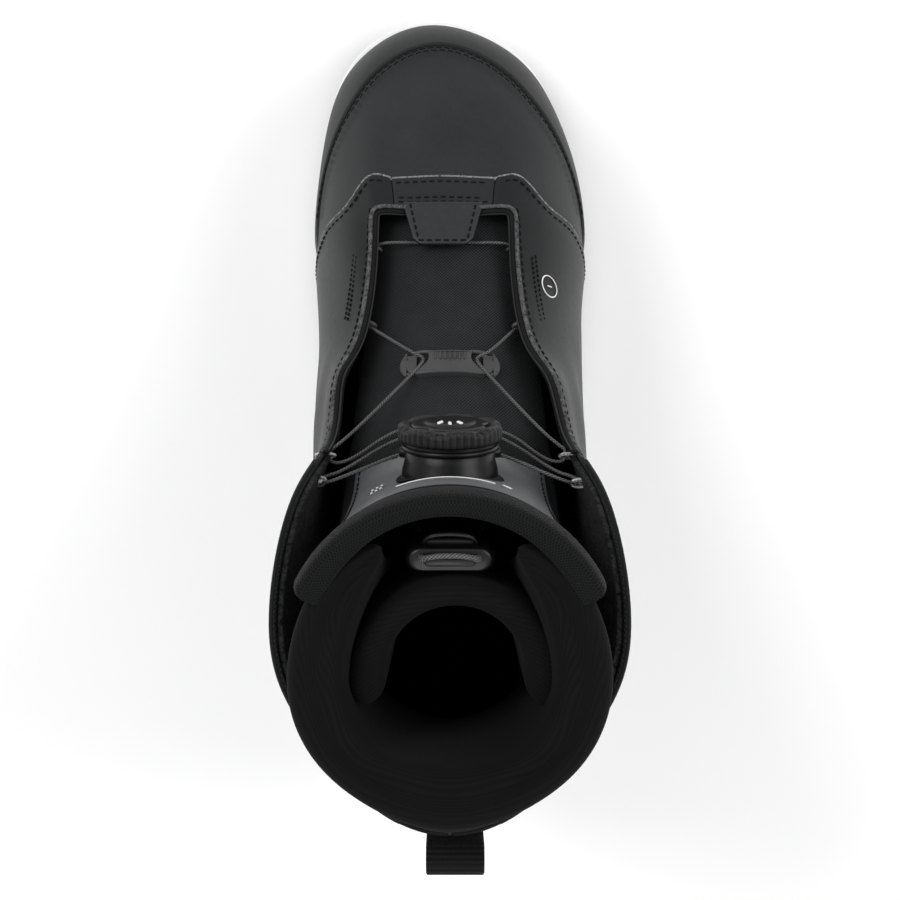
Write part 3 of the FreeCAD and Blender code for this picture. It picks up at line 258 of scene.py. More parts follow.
class Shader:
    """A material's node tree."""

    def __init__(self, name):
        self.material = bpy.data.materials.new(name)
        self.material.use_nodes = True
        self.tree = self.material.node_tree
        self.surface = self.tree.nodes["Principled BSDF"]
        places = self.add("ShaderNodeTexCoord").outputs
        self.uv, self.place = places["UV"], places["Object"]

    def add(self, kind, inputs=(), **settings):
        node = self.tree.nodes.new(kind)
        for key, value in settings.items():
            setattr(node, key, value)
        for key, value in dict(inputs).items():
            self.put(node.inputs[key], value)
        return node

    def put(self, socket, value):
        if isinstance(value, bpy.types.NodeSocket):
            self.tree.links.new(value, socket)
        else:
            socket.default_value = value

    def math(self, operation, a, b=0.0):
        return self.add("ShaderNodeMath", {0: a, 1: b}, operation=operation).outputs[0]

    def blend(self, a, share, b):
        """A share of a, and the rest of b."""
        return self.math("ADD", self.math("MULTIPLY", a, share), self.math("MULTIPLY", b, 1 - share))

    def rough(self, pattern, depth, roughness):
        """Roughness that a pattern changes by a depth, about a middle value."""
        return self.math("ADD", self.math("MULTIPLY", pattern, depth), roughness - depth / 2)

    def noise(self, size_mm, detail=3.0):
        inputs = {"Vector": self.place, "Scale": 1 / (size_mm * MM), "Detail": detail}
        return self.add("ShaderNodeTexNoise", inputs).outputs["Fac"]

    def cells(self, size_mm):
        inputs = {"Vector": self.place, "Scale": 1 / (size_mm * MM)}
        return self.add("ShaderNodeTexVoronoi", inputs, feature="F1").outputs["Distance"]

    def stripes(self, along_u, along_v, pitch_mm, wobble=None):
        """0 to 1 waves across the UV plane, in real millimetres."""
        split = self.add("ShaderNodeSeparateXYZ", {0: self.uv})
        k = 2 * math.pi / (pitch_mm * MM)
        turn = self.math("ADD", self.math("MULTIPLY", split.outputs[0], along_u * k),
                         self.math("MULTIPLY", split.outputs[1], along_v * k))
        if wobble is not None:
            turn = self.math("ADD", turn, wobble)
        return self.math("ADD", self.math("MULTIPLY", self.math("SINE", turn), 0.5), 0.5)

    def ramp(self, factor, dark, light, low, high):
        node = self.add("ShaderNodeValToRGB", {0: factor})
        for element, colour, position in zip(node.color_ramp.elements, (dark, light), (low, high)):
            element.color = (*colour, 1)
            element.position = position
        return node.outputs[0]

    def shades(self, factor, level, contrast, tint, low, high):
        """Colours about a grey level."""
        dark, light = (tone(level * share, tint) for share in (1 - contrast, 1 + contrast))
        return self.ramp(factor, dark, light, low, high)

    def finish(self, colour, roughness, heights=(), **extra):
        self.put(self.surface.inputs["Base Color"], colour)
        self.put(self.surface.inputs["Roughness"], roughness)
        normal = {}
        for height, depth_mm, strength in heights:
            inputs = {"Height": height, "Distance": depth_mm * MM, "Strength": strength, **normal}
            normal = {"Normal": self.add("ShaderNodeBump", inputs).outputs[0]}
        for key, value in {**normal, **extra}.items():
            self.put(self.surface.inputs[key.replace("_", " ")], value)
        return self.material


PLAIN = (1.0, 1.0, 1.0)
COOL = (0.96, 1.0, 1.06)


def tone(level, tint=PLAIN):
    """Linear colour of an sRGB grey from 0 to 255."""
    s = level / 255.0
    linear = s / 12.92 if s <= 0.04045 else ((s + 0.055) / 1.055) ** 2.4
    return tuple(linear * c for c in tint)


def leather(name, level, roughness, specular=0.22, tint=COOL, grain=0.7):
    s = Shader(name)
    fine = s.noise(1.6, 4)
    colour = s.shades(s.blend(s.noise(26, 2), 0.6, fine), level, 0.1, tint, 0.3, 0.7)
    bumps = [(s.cells(grain), 0.05, 0.35), (s.noise(5), 0.15, 0.35)]
    return s.finish(colour, s.rough(fine, 0.12, roughness), bumps, Specular_IOR_Level=specular)


def woven(name, level, pitch, roughness, tint, sheen, contrast, turn, depth):
    s = Shader(name)
    c, d = math.cos(math.radians(turn)), math.sin(math.radians(turn))
    weave = s.blend(s.stripes(c, d, pitch), 0.65, s.stripes(-d, c, pitch))
    colour = s.shades(s.blend(weave, 0.75, s.noise(9)), level, contrast, tint, 0.15, 0.85)
    return s.finish(colour, roughness, [(weave, depth, 0.8), (s.noise(0.5, 2), 0.06, 0.4)],
                    Sheen_Weight=sheen, Sheen_Roughness=0.5, Specular_IOR_Level=0.12)


def air_mesh(name, level):
    s = Shader(name)
    holes = s.math("MULTIPLY", s.stripes(0.707, 0.707, 0.8), s.stripes(-0.707, 0.707, 0.8))
    threads = s.math("SUBTRACT", 1.0, holes)
    colour = s.ramp(threads, tone(level * 0.35, COOL), tone(level * 1.5, (0.93, 1.0, 1.12)), 0.35, 0.95)
    return s.finish(colour, 0.75, [(threads, 0.5, 0.9), (s.noise(0.6, 2), 0.1, 0.5)],
                    Sheen_Weight=0.03, Sheen_Roughness=0.4, Specular_IOR_Level=0.15)


def knit(name, level, pitch):
    s = Shader(name)
    wobble = s.math("MULTIPLY", s.noise(40, 1), 0.5)
    height = s.blend(s.stripes(0, 1, pitch, wobble), 0.7, s.stripes(1, 0, 1.0))
    colour = s.shades(s.blend(height, 0.6, s.noise(12)), level, 0.18, PLAIN, 0.2, 0.8)
    return s.finish(colour, 0.92, [(height, 0.1, 0.4), (s.noise(0.45, 2), 0.1, 0.6)],
                    Sheen_Weight=0.015, Sheen_Roughness=0.6, Specular_IOR_Level=0.06)


def fuzzy(name, level, size, depth, contrast=0.45):
    s = Shader(name)
    fine, clumps = s.noise(size, 5), s.noise(size * 4)
    colour = s.shades(s.blend(fine, 0.6, clumps), level, contrast, PLAIN, 0.35, 0.65)
    return s.finish(colour, 0.95, [(fine, depth, 0.8), (clumps, depth, 0.5)],
                    Sheen_Weight=0.02, Sheen_Roughness=0.7, Specular_IOR_Level=0.04)


def moulded(name, level, roughness, bump, coat=0.0, specular=0.3):
    s = Shader(name)
    vary = 0.02 if level > 200 else 0.06
    colour = s.ramp(s.noise(8), tone(level * (1 - vary)), tone(level * (1 + vary / 2)), 0.3, 0.7)
    return s.finish(colour, s.rough(s.noise(4, 4), 0.16, roughness), [(s.noise(0.7), bump, 0.4)],
                    Coat_Weight=coat, Coat_Roughness=0.12, Specular_IOR_Level=specular)


def webbing(name, level, pitch):
    s = Shader(name)
    height = s.blend(s.stripes(0, 1, pitch), 0.7, s.stripes(1, 0.12, 0.9))
    return s.finish(s.shades(height, level, 0.4, PLAIN, 0.15, 0.85), 0.75, [(height, 0.35, 0.8)],
                    Sheen_Weight=0.02, Specular_IOR_Level=0.1)


def metal(name):
    s = Shader(name)
    colour = s.ramp(s.noise(3, 2), tone(150), tone(185), 0.3, 0.7)
    return s.finish(colour, s.rough(s.noise(1.5, 4), 0.2, 0.3), Metallic=1.0)


M = {
    "toe": leather("toe_leather", 38, 0.5),
    "rand": leather("rand_leather", 30, 0.52),
    "frame": leather("frame_leather", 34, 0.5),
    "quarter": leather("quarter_coated", 25, 0.44, 0.22, (0.93, 1.0, 1.07), 0.6),
    "shell": leather("shell_leather", 32, 0.55),
    "tab": leather("tab_leather", 44, 0.42, 0.25),
    "raw_edge": fuzzy("raw_cut_edge", 105, 0.5, 0.15),
    "felt": fuzzy("felt_edge", 62, 0.5, 0.25, 0.65),
    "trim": leather("black_trim", 17, 0.6, 0.12),
    "fleece": fuzzy("brushed_fleece", 30, 1.1, 0.9, 0.7),
    "lining": fuzzy("smooth_lining", 16, 0.6, 0.2),
    "cordura": woven("cuff_textile", 26, 1.3, 0.8, COOL, 0.02, 0.5, 45, 0.2),
    "tongue": woven("tongue_weave", 28, 0.9, 0.75, COOL, 0.02, 0.7, 38, 0.16),
    # The shin panel's light grey base colour is painted sheen: it stands in for the reflection off its satin.
    "shin": leather("shin_satin", 96, 0.4, 0.35, COOL, 0.5),
    "mesh": air_mesh("collar_mesh", 9),
    "knit": knit("liner_knit", 14, 1.0),
    "knit_in": knit("liner_knit_inside", 12, 1.2),
    "webbing": webbing("heel_webbing", 14, 1.5),
    "silver_webbing": webbing("loop_webbing", 150, 1.0),
    "cord": woven("lace_braid", 72, 0.8, 0.6, PLAIN, 0.02, 0.5, 50, 0.1),
    "thread": woven("thread", 12, 0.4, 0.6, PLAIN, 0.0, 0.3, 30, 0.05),
    "light_thread": woven("light_thread", 48, 0.4, 0.6, PLAIN, 0.0, 0.3, 30, 0.05),
    "foam": moulded("white_foam", 240, 0.6, 0.08),
    "outsole": moulded("outsole_rubber", 30, 0.7, 0.12),
    "grip": moulded("grip_rubber", 20, 0.5, 0.08),
    "gloss": moulded("gloss_plastic", 9, 0.34, 0.02, 0.0, 0.25),
    "guide": moulded("guide_nylon", 66, 0.4, 0.03),
    "lock": moulded("lock_plastic", 11, 0.36, 0.02, 0.15),
    "bar": moulded("lock_bar", 30, 0.4, 0.02, 0.2),
    "print": moulded("white_print", 225, 0.5, 0.02),
    "board": moulded("fibre_board", 120, 0.8, 0.2),
    "steel": metal("screw_steel"),
}


def paint(node, material):
    nodes[node].data.materials.clear()
    nodes[node].data.materials.append(M[material])


# ---------------------------------------------------------------- mesh builders

def add_object(name, verts, faces, uvs, body, material, slot, smooth=True):
    """Mesh object in metres from millimetre vertices; uvs has one metric pair per vertex."""
    mesh = bpy.data.meshes.new(name)
    verts = np.asarray(verts, float) * MM
    mesh.from_pydata(verts.tolist(), [], [tuple(int(i) for i in face) for face in faces])
    mesh.polygons.foreach_set("use_smooth", [smooth] * len(mesh.polygons))
    layer = mesh.uv_layers.new(name="UVMap")
    index = np.empty(len(mesh.loops), np.int32)
    mesh.loops.foreach_get("vertex_index", index)
    layer.data.foreach_set("uv", (np.asarray(uvs, float)[index] * MM).astype(np.float32).ravel())
    mesh.validate()
    mesh.update()
    mesh.calc_loop_triangles()
    corners = np.empty(len(mesh.loop_triangles) * 3, np.int32)
    mesh.loop_triangles.foreach_get("vertices", corners)
    a, b, c = (verts[corners.reshape(-1, 3)[:, k]] for k in range(3))
    if np.einsum("ij,ij->i", a - verts.mean(0), np.cross(b - a, c - a)).sum() < 0:
        mesh.flip_normals()
    obj = bpy.data.objects.new(name, mesh)
    bpy.context.scene.collection.objects.link(obj)
    mesh.materials.append(M[material])
    if body:
        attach(obj, body)
    return obj


def grid_faces(rows, columns, first=0, flip=False, wrap_rows=False, wrap_columns=False):
    i = np.arange(rows if wrap_rows else rows - 1)
    j = np.arange(columns if wrap_columns else columns - 1)
    a, b = (grid.ravel() for grid in np.meshgrid(i, j, indexing="ij"))
    c, d = (a + 1) % rows, (b + 1) % columns
    quads = np.stack([a * columns + b, a * columns + d, c * columns + d, c * columns + b], -1) + first
    return (quads[:, ::-1] if flip else quads).tolist()


def ring_faces(rows, columns, flip=False, closed=False):
    """Skin over a pile of rings, with both ends capped unless the pile runs back into itself."""
    faces = grid_faces(rows, columns, 0, flip, closed, True)
    low = list(range(columns))
    high = list(range((rows - 1) * columns, rows * columns))
    if not closed:
        faces += [low, high[::-1]] if flip else [low[::-1], high]
    return faces


def pile(name, rings, uvs_of, body, material, slot, place=None, smooth=True):
    """Solid from a pile of rings that have the same number of points."""
    verts = np.concatenate(rings)
    faces = ring_faces(len(rings), len(rings[0]))
    return add_object(name, place(verts) if place else verts, faces, uvs_of(verts), body, material, slot, smooth)


def shell_mesh(outer, inner):
    """Closed skin from two grids of the same layout."""
    rows, columns = outer.shape[:2]
    count = rows * columns
    verts = np.concatenate([outer.reshape(-1, 3), inner.reshape(-1, 3)])
    faces = grid_faces(rows, columns) + grid_faces(rows, columns, count, True)
    ring = [(0, j) for j in range(columns)] + [(i, columns - 1) for i in range(1, rows)]
    ring += [(rows - 1, j) for j in range(columns - 2, -1, -1)] + [(i, 0) for i in range(rows - 2, 0, -1)]
    ids = [i * columns + j for i, j in ring]
    faces += [(b, a, a + count, b + count) for a, b in zip(ids, ids[1:] + ids[:1])]
    return verts, faces


def wrap_rim(obj, uv, thick):
    """Carry the face's UVs over the rim, so that its cloth isn't stretched there."""
    rows, columns = thick.shape
    flat, size = uv.reshape(-1, 2), thick.ravel()
    layer, loops = obj.data.uv_layers[0].data, obj.data.loops
    for polygon in list(obj.data.polygons)[2 * (rows - 1) * (columns - 1):]:
        ids = np.array([loops[k].vertex_index for k in polygon.loop_indices])
        face = ids % thick.size
        i, j = np.divmod(face, columns)
        rims = ((i == 0, (-1, 0)), (i == rows - 1, (1, 0)), (j == 0, (0, -1)), (j == columns - 1, (0, 1)))
        away = next(step for on_rim, step in rims if on_rim.all())
        for k, m, low in zip(polygon.loop_indices, face, ids >= thick.size):
            shift = size[m] if low else 0.0
            layer[k].uv = ((flat[m][0] + away[0] * shift) * MM, (flat[m][1] + away[1] * shift) * MM)


def rim_shares(length, step, rim):
    """Shares of a length: even, with finer ones at both ends for a rounded rim."""
    close = np.array([0.0, 0.12, 0.35, 0.7, 1.15]) * rim / length
    close = close[close < 0.25]
    middle = np.linspace(close[-1], 1 - close[-1], max(3, int(length / step)))
    return np.unique(np.concatenate([close, middle, 1 - close]))


def reach_of(points, axis):
    steps = np.linalg.norm(np.diff(points, axis=axis), axis=-1)
    pad = [(0, 0), (0, 0)]
    pad[axis] = (1, 0)
    return np.pad(np.cumsum(steps, axis=axis), pad)


def panel(name, node, surface, place, outside, inside, material, step=3.0, rim=0.7, relief=None, body="boot",
          slot="shell_synthetic", inner_rim=0.0, lining=None):
    """Cloth or leather panel with rounded edges, as one closed mesh with metric UVs.

    outside and inside are depths below the surface, and lining is a second surface for the inner face.
    """
    coarse = np.linspace(0, 1, 25)
    rough = surface.point(*place(*np.meshgrid(coarse, coarse, indexing="ij")))
    shares = (rim_shares(reach_of(rough, 0)[-1].max(), step, rim),
              rim_shares(reach_of(rough, 1)[:, -1].max(), step, rim))
    A, B = np.meshgrid(*shares, indexing="ij")
    T, W = place(A, B)
    base, normal = surface.point(T, W), surface.normal(T, W)
    sa, sb = reach_of(base, 0), reach_of(base, 1)
    gap = np.minimum(np.minimum(sa, sa[-1:] - sa), np.minimum(sb, sb[:, -1:] - sb))
    drop = rim - np.sqrt(np.maximum(rim ** 2 - (rim - np.clip(gap, 0, rim)) ** 2, 0))
    deep = inside(A) if callable(inside) else inside
    lift = relief(T, W, gap) if relief else 0.0
    reach = np.linalg.norm(base - lining.point(T, W), axis=-1) if lining else deep - outside
    drop = drop * np.clip(0.44 * np.abs(reach) / rim, 0, 1)
    top = base - normal * (outside + drop - lift)[..., None]
    if lining:
        low = lining.point(T, W) + normal * (drop * inner_rim)[..., None]
    else:
        low = base - normal * (deep - drop * inner_rim)[..., None]
    thick = np.linalg.norm(top - low, axis=-1)
    uv = np.stack([sa, sb], -1)
    under = np.stack([sa, 2 * sb[:, -1:] + thick[:, -1:] - sb], -1)
    both = np.concatenate([uv.reshape(-1, 2), under.reshape(-1, 2)])
    obj = add_object(name, *shell_mesh(top, low), both, body, material, slot)
    wrap_rim(obj, uv, thick)
    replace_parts(obj, node)
    return obj


def run_along(points):
    return np.concatenate([[0], np.cumsum(np.linalg.norm(np.diff(points, axis=0), axis=1))])


def along_line(places, run, points):
    return np.stack([np.interp(places, run, column) for column in points.T], -1)


def resample(points, step, closed=False):
    points = np.asarray(points, float)
    if closed:
        points = np.concatenate([points, points[:1]])
    run = run_along(points)
    places = np.linspace(0, run[-1], max(2, int(round(run[-1] / step)) + 1))
    return along_line(places[:-1] if closed else places, run, points)


def smooth_route(points, rounds):
    """Corner cutting: a smooth line that keeps its ends."""
    points = np.asarray(points, float)
    for _ in range(rounds):
        near = 0.75 * points[:-1] + 0.25 * points[1:]
        far = 0.25 * points[:-1] + 0.75 * points[1:]
        cut = np.stack([near, far], 1).reshape(-1, 3)
        points = np.concatenate([points[:1], cut[1:-1], points[-1:]])
    return points


def tangents(line, closed):
    after, before = np.roll(line, -1, 0), np.roll(line, 1, 0)
    if not closed:
        after[-1], before[0] = line[-1], line[0]
    return unit(after - before)


def circle(centre, along, up, wide, high, count):
    """Ring of points about a centre, wide along one direction and high up the other."""
    turn = np.linspace(0, 2 * np.pi, count, endpoint=False)[:, None]
    return centre + np.cos(turn) * along * wide + np.sin(turn) * up * high


def tube(name, route, radius, material, slot, body="boot", sides=8, step=1.0, squash=1.0, closed=False,
         strands=0, twist=3.0):
    """Round, flattened or stranded cord along a route."""
    line = resample(route, step, closed)
    tangent = tangents(line, closed)
    side = np.cross(tangent[0], [0.13, 0.2, 0.97])
    across = []
    for t in tangent:
        side = unit(side - t * np.dot(side, t))
        across.append(side)
    across = np.array(across)
    ups = np.cross(tangent, across)
    angle = np.linspace(0, 2 * np.pi, sides, endpoint=False)
    run = np.arange(len(line)) * step
    scale = np.ones((len(line), sides))
    if strands:
        phase = strands * (angle[None] - 2 * np.pi * run[:, None] / (twist * strands))
        scale = 0.84 + 0.32 * np.abs(np.cos(phase / 2))
    ring = np.cos(angle)[None, :, None] * across[:, None] + squash * np.sin(angle)[None, :, None] * ups[:, None]
    verts = line[:, None] + ring * (radius * scale)[..., None]
    uv = np.stack(np.broadcast_arrays(run[:, None], angle[None] * radius), -1).reshape(-1, 2)
    faces = ring_faces(len(line), sides, True, closed)
    return add_object(name, verts.reshape(-1, 3), faces, uv, body, material, slot)


# Rings of one stitch: place along it, width and height as shares of its length and thickness.
STITCH_RINGS = [(-0.5, 0.55, -0.30), (-0.36, 0.95, 0.02), (0.0, 1.0, 0.14), (0.36, 0.95, 0.02),
                (0.5, 0.55, -0.30)]
STITCH_FACES = ring_faces(5, 6, True)


def stitches(name, rows, body="boot", material="thread", pitch=3.0, share=0.74, radius=0.34,
             slot="shell_synthetic"):
    """Sewn rows. Each row is (points, normals); every stitch is a small thread capsule."""
    verts, faces = [], []
    angle = np.linspace(0, 2 * np.pi, 6, endpoint=False)
    for points, normals in rows:
        both = resample(np.concatenate([points, normals], 1), 0.5)
        run = run_along(both[:, :3])
        for k in range(int(run[-1] / pitch)):
            here, ahead = along_line((k + 0.5) * pitch + np.array([0.0, 0.8]), run, both)
            c, n = here[:3], unit(here[3:])
            t = unit(ahead[:3] - c + 1e-9)
            b = np.cross(n, t)
            faces += [[len(verts) + i for i in face] for face in STITCH_FACES]
            for along, wide, high in STITCH_RINGS:
                for q in angle:
                    verts.append(c + t * along * pitch * share + b * radius * wide * math.cos(q)
                                 + n * (radius * 0.8 * wide * math.sin(q) + high))
    return add_object(name, verts, faces, np.array(verts)[:, :2], body, material, slot)


def row_on(surface, t, w, offset=0.0, lift=0.1, turn=1.0):
    """Line on a surface, moved sideways by an offset, with its normals."""
    t, w = np.broadcast_arrays(np.asarray(t, float), np.asarray(w, float))
    points, normals = surface.point(t, w), surface.normal(t, w)
    side = np.cross(normals, unit(np.gradient(points, axis=0))) * turn
    return points + side * offset + normals * lift, normals


def around(t, side):
    """Rib place t on the lateral side, or its mirror image on the medial side."""
    return t if side > 0 else RIBS - t


def strip(start, end, low, high, side=1):
    """Place on the upper between two ribs and two heights, which are shares or functions of the rib."""
    def place(a, b):
        t = mix(start, end, a)
        w_low = low(t) if callable(low) else low
        w_high = high(t) if callable(high) else high
        return around(t, side), mix(w_low, w_high, b)
    return place


# ---------------------------------------------------------------- puffing by cloth simulation

CLOTH_FRAMES = 16
CLOTH_STIFFNESS = 12.0
CLOTH_SMOOTHING = 12


def cloth_shape(obj, pressure):
    """Vertex places after some frames of cloth pressure."""
    cloth = obj.modifiers.new("Cloth", "CLOTH")
    settings = cloth.settings
    settings.use_pressure = True
    settings.uniform_pressure_force = pressure
    settings.effector_weights.gravity = 0.0
    settings.quality = 4
    settings.mass = 0.3
    settings.tension_stiffness = CLOTH_STIFFNESS
    settings.compression_stiffness = CLOTH_STIFFNESS
    settings.shear_stiffness = CLOTH_STIFFNESS * 0.5
    settings.bending_stiffness = 0.4
    cloth.collision_settings.use_collision = False
    cloth.point_cache.frame_start = 1
    cloth.point_cache.frame_end = CLOTH_FRAMES
    for frame_number in range(1, CLOTH_FRAMES + 1):
        bpy.context.scene.frame_set(frame_number)
    shaped = np.empty(len(obj.data.vertices) * 3, np.float32)
    obj.evaluated_get(bpy.context.evaluated_depsgraph_get()).data.vertices.foreach_get("co", shaped)
    obj.modifiers.remove(cloth)
    return shaped.reshape(-1, 3)


def swell(obj, pressure, cap):
    """Move a mesh by cloth pressure, smoothed over its neighbours and by at most a cap in millimetres."""
    rest = np.empty(len(obj.data.vertices) * 3, np.float32)
    obj.data.vertices.foreach_get("co", rest)
    rest = rest.reshape(-1, 3)
    move = cloth_shape(obj, pressure) - rest
    ends = np.empty(len(obj.data.edges) * 2, np.int32)
    obj.data.edges.foreach_get("vertices", ends)
    a, b = ends.reshape(-1, 2).T
    count = np.bincount(ends, minlength=len(rest))[:, None]
    for _ in range(CLOTH_SMOOTHING):
        near = np.zeros_like(move)
        np.add.at(near, a, move[b])
        np.add.at(near, b, move[a])
        move = 0.5 * move + 0.5 * near / count
    size = np.linalg.norm(move, axis=1, keepdims=True)
    limit = cap * MM
    move *= limit * np.tanh(size / limit) / np.maximum(size, 1e-9)
    obj.data.vertices.foreach_set("co", (rest + move).ravel())
    obj.data.update()
    bpy.context.scene.frame_set(1)


def puff(obj, pressure, cap):
    """Swell a closed mesh and subdivide it."""
    swell(obj, pressure, cap)
    smooth = obj.modifiers.new("Subdivision", "SUBSURF")
    smooth.levels = smooth.render_levels = 1


# ---------------------------------------------------------------- camera, light and floor

EYE_HEIGHT = 0.9
EYE_Y = -0.0185
LENS = 89.68
SKY_LIGHT = 0.62
# Round lamps: name, place, aim, size and power.
LAMPS = (
    ("key", (-0.9, 0.5, 1.3), (0, 0, 0.1), 1.0, 12),
    ("fill", (1.1, 0.2, 1.1), (0, 0, 0.1), 1.1, 10),
    ("back", (0.0, -1.3, 1.2), (0, -0.05, 0.15), 1.2, 7),
)


def make_studio():
    scene = bpy.context.scene
    camera = bpy.data.objects.new("camera", bpy.data.cameras.new("camera"))
    scene.collection.objects.link(camera)
    camera.location = (0, EYE_Y, EYE_HEIGHT)
    camera.data.sensor_width = 36
    camera.data.lens = LENS
    camera.data.clip_start = 0.01
    scene.camera = camera
    scene.view_settings.view_transform = "Standard"
    world = bpy.data.worlds.new("studio")
    world.use_nodes = True
    world.node_tree.nodes["Background"].inputs[0].default_value = (1, 1, 1, 1)
    world.node_tree.nodes["Background"].inputs[1].default_value = SKY_LIGHT
    scene.world = world
    for name, place, aim, size, power in LAMPS:
        light = bpy.data.objects.new(name, bpy.data.lights.new(name, "AREA"))
        light.data.shape = "DISK"
        light.data.size = size
        light.data.energy = power
        light.location = place
        light.rotation_euler = (Vector(aim) - Vector(place)).to_track_quat("-Z", "Y").to_euler()
        scene.collection.objects.link(light)
    bpy.ops.mesh.primitive_plane_add(size=6, location=(0, 0, -0.0005))
    floor = bpy.context.object
    floor.name = "floor"
    floor.data.materials.append(Shader("pale_floor").finish((0.93, 0.93, 0.93, 1), 0.9))


# ---------------------------------------------------------------- bottom unit

# Side of the midsole from its underside up, with two fine moulded grooves: outward shift and height.
# The first and last stand for a small ring in the middle of the foot.
MIDSOLE_MIDDLE = -30
MIDSOLE_PROFILE = [
    (MIDSOLE_MIDDLE, 8.0), (-3, 8.0), (-0.9, 8.2), (-0.2, 9.0), (0.0, 10.5), (0.0, 14.2), (-0.35, 14.7),
    (-0.35, 15.3),
    (0.0, 15.8), (0.0, 20.2), (-0.35, 20.7), (-0.35, 21.3), (0.0, 21.8), (-0.05, 24.6), (-0.4, 26.0),
    (-1.2, 26.7), (-2.4, 26.8), (-8, 26.8), (MIDSOLE_MIDDLE, 26.8),
]
SOLE_FLAT_END = 60.0
SOLE_ROLL = 900.0


def plan_line(w, outward, bumper=0.0, count=220):
    """Outline seen from above at a height on the upper, moved outward and more so at the toe."""
    t = RIBS * np.arange(count) / count
    side = upper.normal(t, w)
    side[:, 2] = 0
    reach = outward + bumper * np.exp(-(from_toe(t) / 1.5) ** 2)
    line = upper.point(t, w) + unit(side) * reach[:, None]
    return line[:, :2], unit(side)[:, :2]


def sole_rise(y):
    reach = np.maximum(0, y - SOLE_FLAT_END)
    return SOLE_ROLL - np.sqrt(SOLE_ROLL ** 2 - reach ** 2)


def make_midsole():
    line, side = plan_line(0.2, 1.3, 4.2)
    rings = []
    for outward, z in MIDSOLE_PROFILE:
        p = line * [0.35, 0.72] if outward == MIDSOLE_MIDDLE else line + side * outward
        share = 1.0 if z < 9 else max(0.0, 1 - (z - 8.0) / 18.8)
        rings.append(np.column_stack([p, z + sole_rise(p[:, 1]) * share]))

    def uvs_of(verts):
        return np.column_stack([np.tile(np.arange(len(line)) * 3.8, len(rings)), verts[:, 2]])

    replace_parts(pile("midsole_foam", rings, uvs_of, "boot", "foam", "midsole_foam"), "midsole")


# ---------------------------------------------------------------- upper

# Front edge of the quarter: the rib it passes at each height.
FRONT_HEIGHTS = [0.0, 0.1, 0.2, 0.3, 0.4, 0.5, 0.6, 0.66, 0.72, 0.76, 0.80, 0.84, 0.88, 0.91, 0.929, 1.0]
FRONT_RIBS = [3.80, 3.77, 3.72, 3.62, 3.47, 3.27, 3.05, 2.95, 2.84, 2.73, 2.56, 2.26, 1.87, 1.55, 1.27, 1.27]


def quarter_front(w):
    return np.interp(w, FRONT_HEIGHTS, FRONT_RIBS)


def rand_top(t):
    return RAND_TOP - 0.15 * ease((np.abs(t) - 1.35) / 1.9)


def bridge_low(t):
    return 0.942 - 0.013 * (np.abs(t) / BRIDGE_HALF) ** 2


def toe_box_top(t):
    outer = np.interp(np.abs(t), FRONT_RIBS[-2::-1], FRONT_HEIGHTS[-2::-1])
    return np.where(np.abs(t) < BRIDGE_HALF, bridge_low(t), outer)


def from_toe(t):
    return np.minimum(t, RIBS - t)


def counter_edge(t):
    return mix(0.46, 0.20, ((t - HEEL) / (HEEL - COUNTER_FRONT)) ** 2)


def cuff_low(t):
    return mix(0.665, 0.60, (t - CUFF_FRONT) / (HEEL - CUFF_FRONT))


def creases(T, W, gap):
    """Slack folds of the quarter towards the ankle, and a slight waviness everywhere."""
    near = from_toe(T)
    ankle = ease((near - 4.1) / 1.5) * ease((W - 0.35) / 0.3) * ease((1.02 - W) / 0.12)
    folds = 0.5 * np.sin(W * 30 + near * 1.9 + 0.7 * np.sin(near * 3)) * ankle
    return folds + 0.18 * np.sin(T * 5.1 + W * 7) * ease(gap / 6)


def gentle(T, W, gap):
    return 0.15 * np.sin(T * 4.3 + W * 11) * ease(gap / 7)


def tucked(T, W, gap):
    """Slight waviness, and sunk where the quarter covers the rand."""
    side = np.abs(np.where(T > HEEL, T - RIBS, T))
    return gentle(T, W, gap) - 0.9 * ease((side - quarter_front(W) + 0.45) / 0.35)


def make_toe():
    """Toe rand, toe box and throat bridge. Gives their sewn rows."""
    rand = strip(-3.85, 3.85, 0.0, rand_top)
    panel("toe_rand_panel", "toe_rand", upper, rand, -0.55, 1.2, "rand", 2.4, 0.9, tucked)
    toe_box = strip(-3.42, 3.42, lambda t: rand_top(t) - 0.02, lambda t: toe_box_top(t) + 0.012)
    panel("toe_box_panel", "toe_box", upper, toe_box, 0.45, 1.3, "toe", 3.0, 0.3, gentle)
    panel("throat_bridge_panel", "throat_bridge", upper, strip(-BRIDGE_HALF, BRIDGE_HALF, bridge_low, 1.0),
          -0.35, 1.3, "frame", 2.0)
    t = np.linspace(-BRIDGE_HALF, BRIDGE_HALF, 50)
    tube("bridge_raw_edge", row_on(upper, t, bridge_low(t), 0.0, 0.15)[0], 0.42, "raw_edge", "binding_felt",
         sides=6, step=1.2)
    t = np.linspace(-3.02, 3.02, 160)
    rows = [row_on(upper, t, rand_top(t), offset, 0.55, -1.0) for offset in (2.3, 4.0)]
    t = np.linspace(-BRIDGE_HALF + 0.08, BRIDGE_HALF - 0.08, 60)
    rows.append(row_on(upper, t, bridge_low(t), 2.2, 0.35, -1.0))
    return rows + [row_on(upper, t, 0.995, offset, 0.35, -1.0) for offset in (-1.6, -3.4)]


